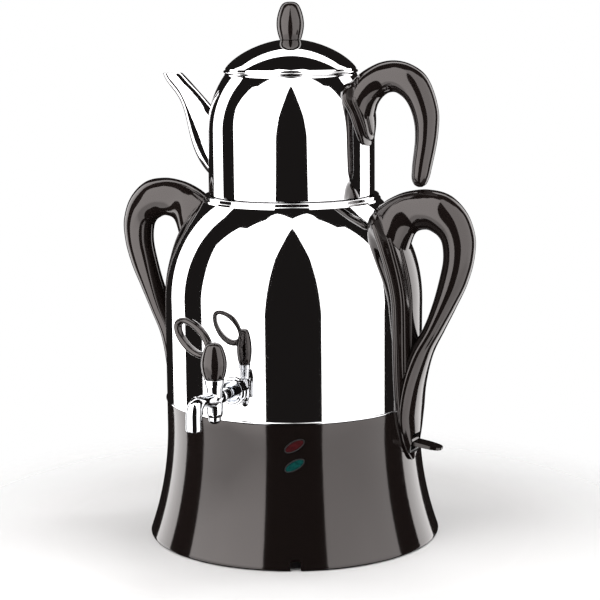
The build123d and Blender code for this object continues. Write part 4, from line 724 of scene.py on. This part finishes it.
handle = cut(handle, arm("hook", HOOK, POT_MOUTH), "teapot_handle_moulded", "UNION")
handle = cut(handle, vessel_space("pot_space", POT_WALL, SEAT_GAP), "teapot_handle_moulded")
settle(handle, "teapot_handle", 50)

# %% [markdown]
# The tap's body is cast in one, then plated: a barrel for the plug, a shank through the tank's wall and a swan neck.
# Joined alone, they would meet in creases. A fine voxel remesh and some smoothing round every corner as casting and
# polishing do, and the bores are drilled last, so that they stay crisp. The grip is rounded in the same way.

# %% Tap castings
def rounded(piece, name, voxel_mm, passes):
    """Remeshes a piece and smooths its corners."""
    skin = piece.modifiers.new("skin", "REMESH")
    skin.mode, skin.voxel_size, skin.use_smooth_shade = "VOXEL", voxel_mm * MM, True
    melt = piece.modifiers.new("melt", "SMOOTH")
    melt.factor, melt.iterations = 0.5, passes
    return baked(piece, name)


def rod(name, points, place):
    """A turned part of the tap, put in its place."""
    made = turned(name, points, 96)
    made.data.transform(place)
    return made


# the tap is made along +X, and is turned to its side at the end
UPRIGHT_AT_PLUG = Matrix.Translation((TAP_AXIS * MM, 0, 0))
UPRIGHT_AT_OUTLET = Matrix.Translation((OUTLET_AXIS * MM, 0, 0))
LYING = Matrix.Translation((0, 0, TAP_HEIGHT * MM)) @ Matrix.Rotation(math.pi / 2, 4, "Y")
SWAN = (((122.0, 138.4), (122.0, 126.2), 6.0), ((129.4, 138.2), (129.4, 126.4), 6.0),
        ((136.5, 137.6), (136.5, 127.4), 5.1), ((142.5, 138.1), (143.5, 129.0), 4.6),
        ((150.0, 139.3), (149.6, 129.6), 5.0), ((157.5, 138.9), (152.6, 128.2), 5.5),
        ((163.6, 135.2), (154.2, 126.6), 5.8), ((165.9, 129.0), (154.6, 124.8), 5.9),
        ((166.2, 122.0), (154.7, 121.6), 5.85), ((166.2, 115.7), (154.7, 115.7), 5.85),
        ((165.8, 115.0), (155.1, 115.0), 5.5))
inner_end = -max(corner[1] for corner in frame["nodes"]["tap_body"].bound_box) / MM
barrel = rod("tap_barrel", [(0, 119.0), (4.9, 119.0), (5.5, 119.5), (6.3, 121.6), (6.55, 124.2), (6.2, 127.2),
                            (5.9, 131.0), (6.0, 136.0), (6.3, 140.0), (6.6, 141.4), (6.6, 143.4), (6.2, 143.9),
                            (0, 143.9)], UPRIGHT_AT_PLUG)
shank = rod("tap_shank", [(0, inner_end), (4.8, inner_end), (4.8, 118.0), (5.5, 118.6), (5.5, 120.6), (4.9, 121.4),
                          (4.8, 127.0), (0, 127.0)], LYING)
casting = arm("swan_neck", SWAN, steps=72, stations=200)
casting = cut(casting, barrel, "tap_casting", "UNION")
casting = cut(casting, shank, "tap_casting", "UNION")
casting = rounded(casting, "tap_casting", 0.35, 10)
for name, radius, start, end, place in (
        ("plug_bore", 4.2, 118.0, 145.0, UPRIGHT_AT_PLUG), ("outlet_bore", 4.3, 114.0, 131.0, UPRIGHT_AT_OUTLET),
        ("flow_bore", 2.8, inner_end - 1, 159.0, LYING)):
    drill = rod(name, [(0, start), (radius, start), (radius, end), (0, end)], place)
    casting = cut(casting, drill, "tap_body_chromed")
casting.data.transform(Matrix.Rotation(-math.pi / 2, 4, "Z"))
settle(casting, "tap_body", 45)
settle(rounded(merged_copy("tap_handle", "tap_grip_moulded"), "tap_grip_moulded", 0.45, 6), "tap_handle", 60)

# %% [markdown]
# Small pieces keep their CAD shape. Joining the loose triangles lets them be shaded smooth, and crisp edges stay
# where faces meet at an angle.

# %% Small visible pieces
CLOSE = {
    "tap_rosette": "tap_rosette_chromed", "tap_bottom_cap": "tap_cap_chromed", "tap_gland_nut": "tap_nut_chromed",
    "teapot_spout": "spout_polished", "lid_knob": "lid_knob_moulded", "switch_lever": "switch_lever_moulded",
    "switch_body": "switch_housing", "lamp_bezels": "lamp_frames", "red_lens": "red_lens_acrylic",
    "green_lens": "green_lens_acrylic", "foot_ring": "foot_ring_rubber", "base_plate": "bottom_cover",
    "tap_plug": "tap_plug_turned", "cord_gland": "cord_bush", "teapot_base_disc": "teapot_bottom_disc",
}
for node, name in CLOSE.items():
    settle(merged_copy(node, name), node, 35)

# %% [markdown]
# The studio is a tent of glowing panels round a polished object. Steel shows nothing of its own: its black
# stripe is a gap in the front panel and its white fields are the panels. The panels are hidden from the camera, and
# the floor is a pale disc that fades into the white backdrop.

# %% Studio tent
VIEW = math.radians(26.5)
HALF, ROOF, FRONT, REAR = 500, 900, 350, -430  # the tent's half width, height, front and back, in millimetres
TOWARDS = Vector((math.sin(VIEW), -math.cos(VIEW), 0))
RIGHT = Vector((math.cos(VIEW), math.sin(VIEW), 0))


def studio(s, x, z):
    """A point s mm towards the camera from the axis, x to its right and z up."""
    return TOWARDS * s * MM + RIGHT * x * MM + Vector((0, 0, z * MM))


def glow(name, low, middle, high):
    """A lit cloth whose brightness changes with height: at 5, 60 and 120 mm above the floor."""
    material = bpy.data.materials.new(name)
    material.use_nodes = True
    tree = material.node_tree
    tree.nodes.clear()
    place = add_node(tree, "ShaderNodeTexCoord")
    height = add_node(tree, "ShaderNodeSeparateXYZ", {"Vector": place.outputs["Object"]}).outputs["Z"]
    lower = add_node(tree, "ShaderNodeMapRange", {"Value": height, "From Min": 5 * MM, "From Max": 60 * MM,
                                                  "To Min": low, "To Max": middle}).outputs["Result"]
    upper = add_node(tree, "ShaderNodeMapRange", {"Value": height, "From Min": 60 * MM, "From Max": 120 * MM,
                                                  "To Min": 0.0, "To Max": high - middle}).outputs["Result"]
    strength = add_node(tree, "ShaderNodeMath", {0: lower, 1: upper}, operation="ADD").outputs[0]
    light = add_node(tree, "ShaderNodeEmission", {"Color": (1.0, 0.985, 0.98, 1.0), "Strength": strength})
    add_node(tree, "ShaderNodeOutputMaterial", {"Surface": light.outputs["Emission"]})
    return material


def panel(name, corners, material):
    mesh = bpy.data.meshes.new(name)
    mesh.from_pydata([studio(*c) for c in corners], [], [tuple(range(len(corners)))])
    mesh.materials.append(material)
    piece = new_object(name, mesh)
    piece.visible_camera = False
    return piece


GLOW = {-1: glow("left_cloth", 2.35, 3.5, 3.9), 1: glow("right_cloth", 2.35, 2.65, 2.95)}
rear_glow = glow("rear_cloth", 3.3, 3.3, 3.3)
low = -260  # the cloths hang below the floor's edge, so that the flared stand mirrors no gap under them
# half the dark gap in front, which is the long black stripe down the steel, and the edge of the dark bar at each side
opening = [(138, low), (138, 150), (127, 250), (119, 310), (100, 430), (60, 575), (25, 720), (0, 800), (0, ROOF)]
bar_front = [(82, low), (82, 300), (60, 500), (150, 800), (240, ROOF)]
for side in (-1, 1):
    cloth, edge = GLOW[side], side * HALF
    panel(f"front_panel_{side}", [(FRONT, edge, low)] + [(FRONT, side * x, z) for x, z in opening]
          + [(FRONT, edge, ROOF)], cloth)
    panel(f"roof_front_{side}", [(FRONT, 0, ROOF), (FRONT, edge, ROOF), (240, edge, ROOF), (236, side * 260, ROOF),
                                 (200, side * 195, ROOF), (190, side * 140, ROOF), (215, side * 90, ROOF),
                                 (274, 0, ROOF)], cloth)
    panel(f"side_panel_{side}", [(FRONT, edge, low), (FRONT, edge, ROOF)] + [(s, edge, z) for s, z in bar_front[::-1]],
          cloth)
    panel(f"rear_side_panel_{side}", [(-120, edge, low), (-120, edge, 700), (-200, edge, ROOF), (REAR, edge, ROOF),
                                      (REAR, edge, low)], rear_glow)
panel("roof_rear", [(-200, -HALF, ROOF), (-200, HALF, ROOF), (REAR, HALF, ROOF), (REAR, -HALF, ROOF)], rear_glow)

# %% Floor, backdrop and camera
floor_mesh = bpy.data.meshes.new("studio_floor")
shape = bmesh.new()
bmesh.ops.create_circle(shape, cap_ends=True, segments=128, radius=0.9)
shape.to_mesh(floor_mesh)
shape.free()
floor = new_object("studio_floor", floor_mesh)
floor.visible_glossy = False
pale = bpy.data.materials.new("pale_matt_floor")
pale.use_nodes = True
tree = pale.node_tree
shader = tree.nodes["Principled BSDF"]
for key, value in (("Base Color", linear("#c4c4c4")), ("Roughness", 0.6), ("Specular IOR Level", 0.2)):
    shader.inputs[key].default_value = value
middle = add_node(tree, "ShaderNodeTexCoord")
away = add_node(tree, "ShaderNodeVectorMath", {0: middle.outputs["Object"]}, operation="LENGTH")
fade = add_node(tree, "ShaderNodeMapRange", {"Value": away.outputs["Value"], "From Min": 0.19, "From Max": 0.34,
                                             "To Min": 1.0, "To Max": 0.0})
tree.links.new(fade.outputs["Result"], shader.inputs["Alpha"])
floor_mesh.materials.append(pale)

# a soft lamp high behind the right side lays the shadow to the left and front; only the floor shows it
high_lamp = bpy.data.lights.new("high_soft_lamp", "SUN")
high_lamp.energy, high_lamp.angle = 2.05, math.radians(24)
lamp_stand = bpy.data.objects.new("high_soft_lamp", high_lamp)
bpy.context.scene.collection.objects.link(lamp_stand)
towards_lamp = (RIGHT * 0.30 - TOWARDS * 0.30 + Vector((0, 0, 1))).normalized()
lamp_stand.rotation_euler = towards_lamp.to_track_quat("Z", "Y").to_euler()
lamp_stand.visible_glossy = False

world = bpy.data.worlds.new("studio_world")
bpy.context.scene.world = world
world.use_nodes = True
tree = world.node_tree
tree.nodes.clear()
ray = add_node(tree, "ShaderNodeLightPath")
backdrop = add_node(tree, "ShaderNodeBackground", {"Color": (1, 1, 1, 1), "Strength": 1.0})
dark = add_node(tree, "ShaderNodeBackground", {"Color": (1, 0.87, 0.84, 1), "Strength": 0.013})
chosen = add_node(tree, "ShaderNodeMixShader", {0: ray.outputs["Is Camera Ray"], 1: dark.outputs[0],
                                                2: backdrop.outputs[0]})
add_node(tree, "ShaderNodeOutputWorld", {"Surface": chosen.outputs[0]})
bpy.context.scene.view_settings.view_transform = "Standard"

pitch_down, yaw, roll = 0.17293, 0.004029, -0.008616  # radians
FOCAL_PIXELS, PICTURE_PIXELS, SENSOR_MM = 1808.26, 600, 36.0
lens_data = bpy.data.cameras.new("studio_camera")
lens_data.sensor_width, lens_data.lens = SENSOR_MM, FOCAL_PIXELS * SENSOR_MM / PICTURE_PIXELS
lens_data.clip_start, lens_data.clip_end = 0.05, 20
camera = bpy.data.objects.new("studio_camera", lens_data)
bpy.context.scene.collection.objects.link(camera)
ahead = Vector((math.sin(yaw) * math.cos(pitch_down), math.cos(yaw) * math.cos(pitch_down), -math.sin(pitch_down)))
level = Vector((math.cos(yaw), -math.sin(yaw), 0))
upright = level.cross(ahead)
across = level * math.cos(roll) + upright * math.sin(roll)
above = upright * math.cos(roll) - level * math.sin(roll)
turn = Matrix((across, above, -ahead)).transposed()
camera.matrix_world = (Matrix.Rotation(VIEW, 4, "Z") @ Matrix.Translation((0, -1.40054, 0.42933))
                       @ turn.to_4x4())
bpy.context.scene.camera = camera
print("camera at", [round(c, 3) for c in camera.matrix_world.translation])
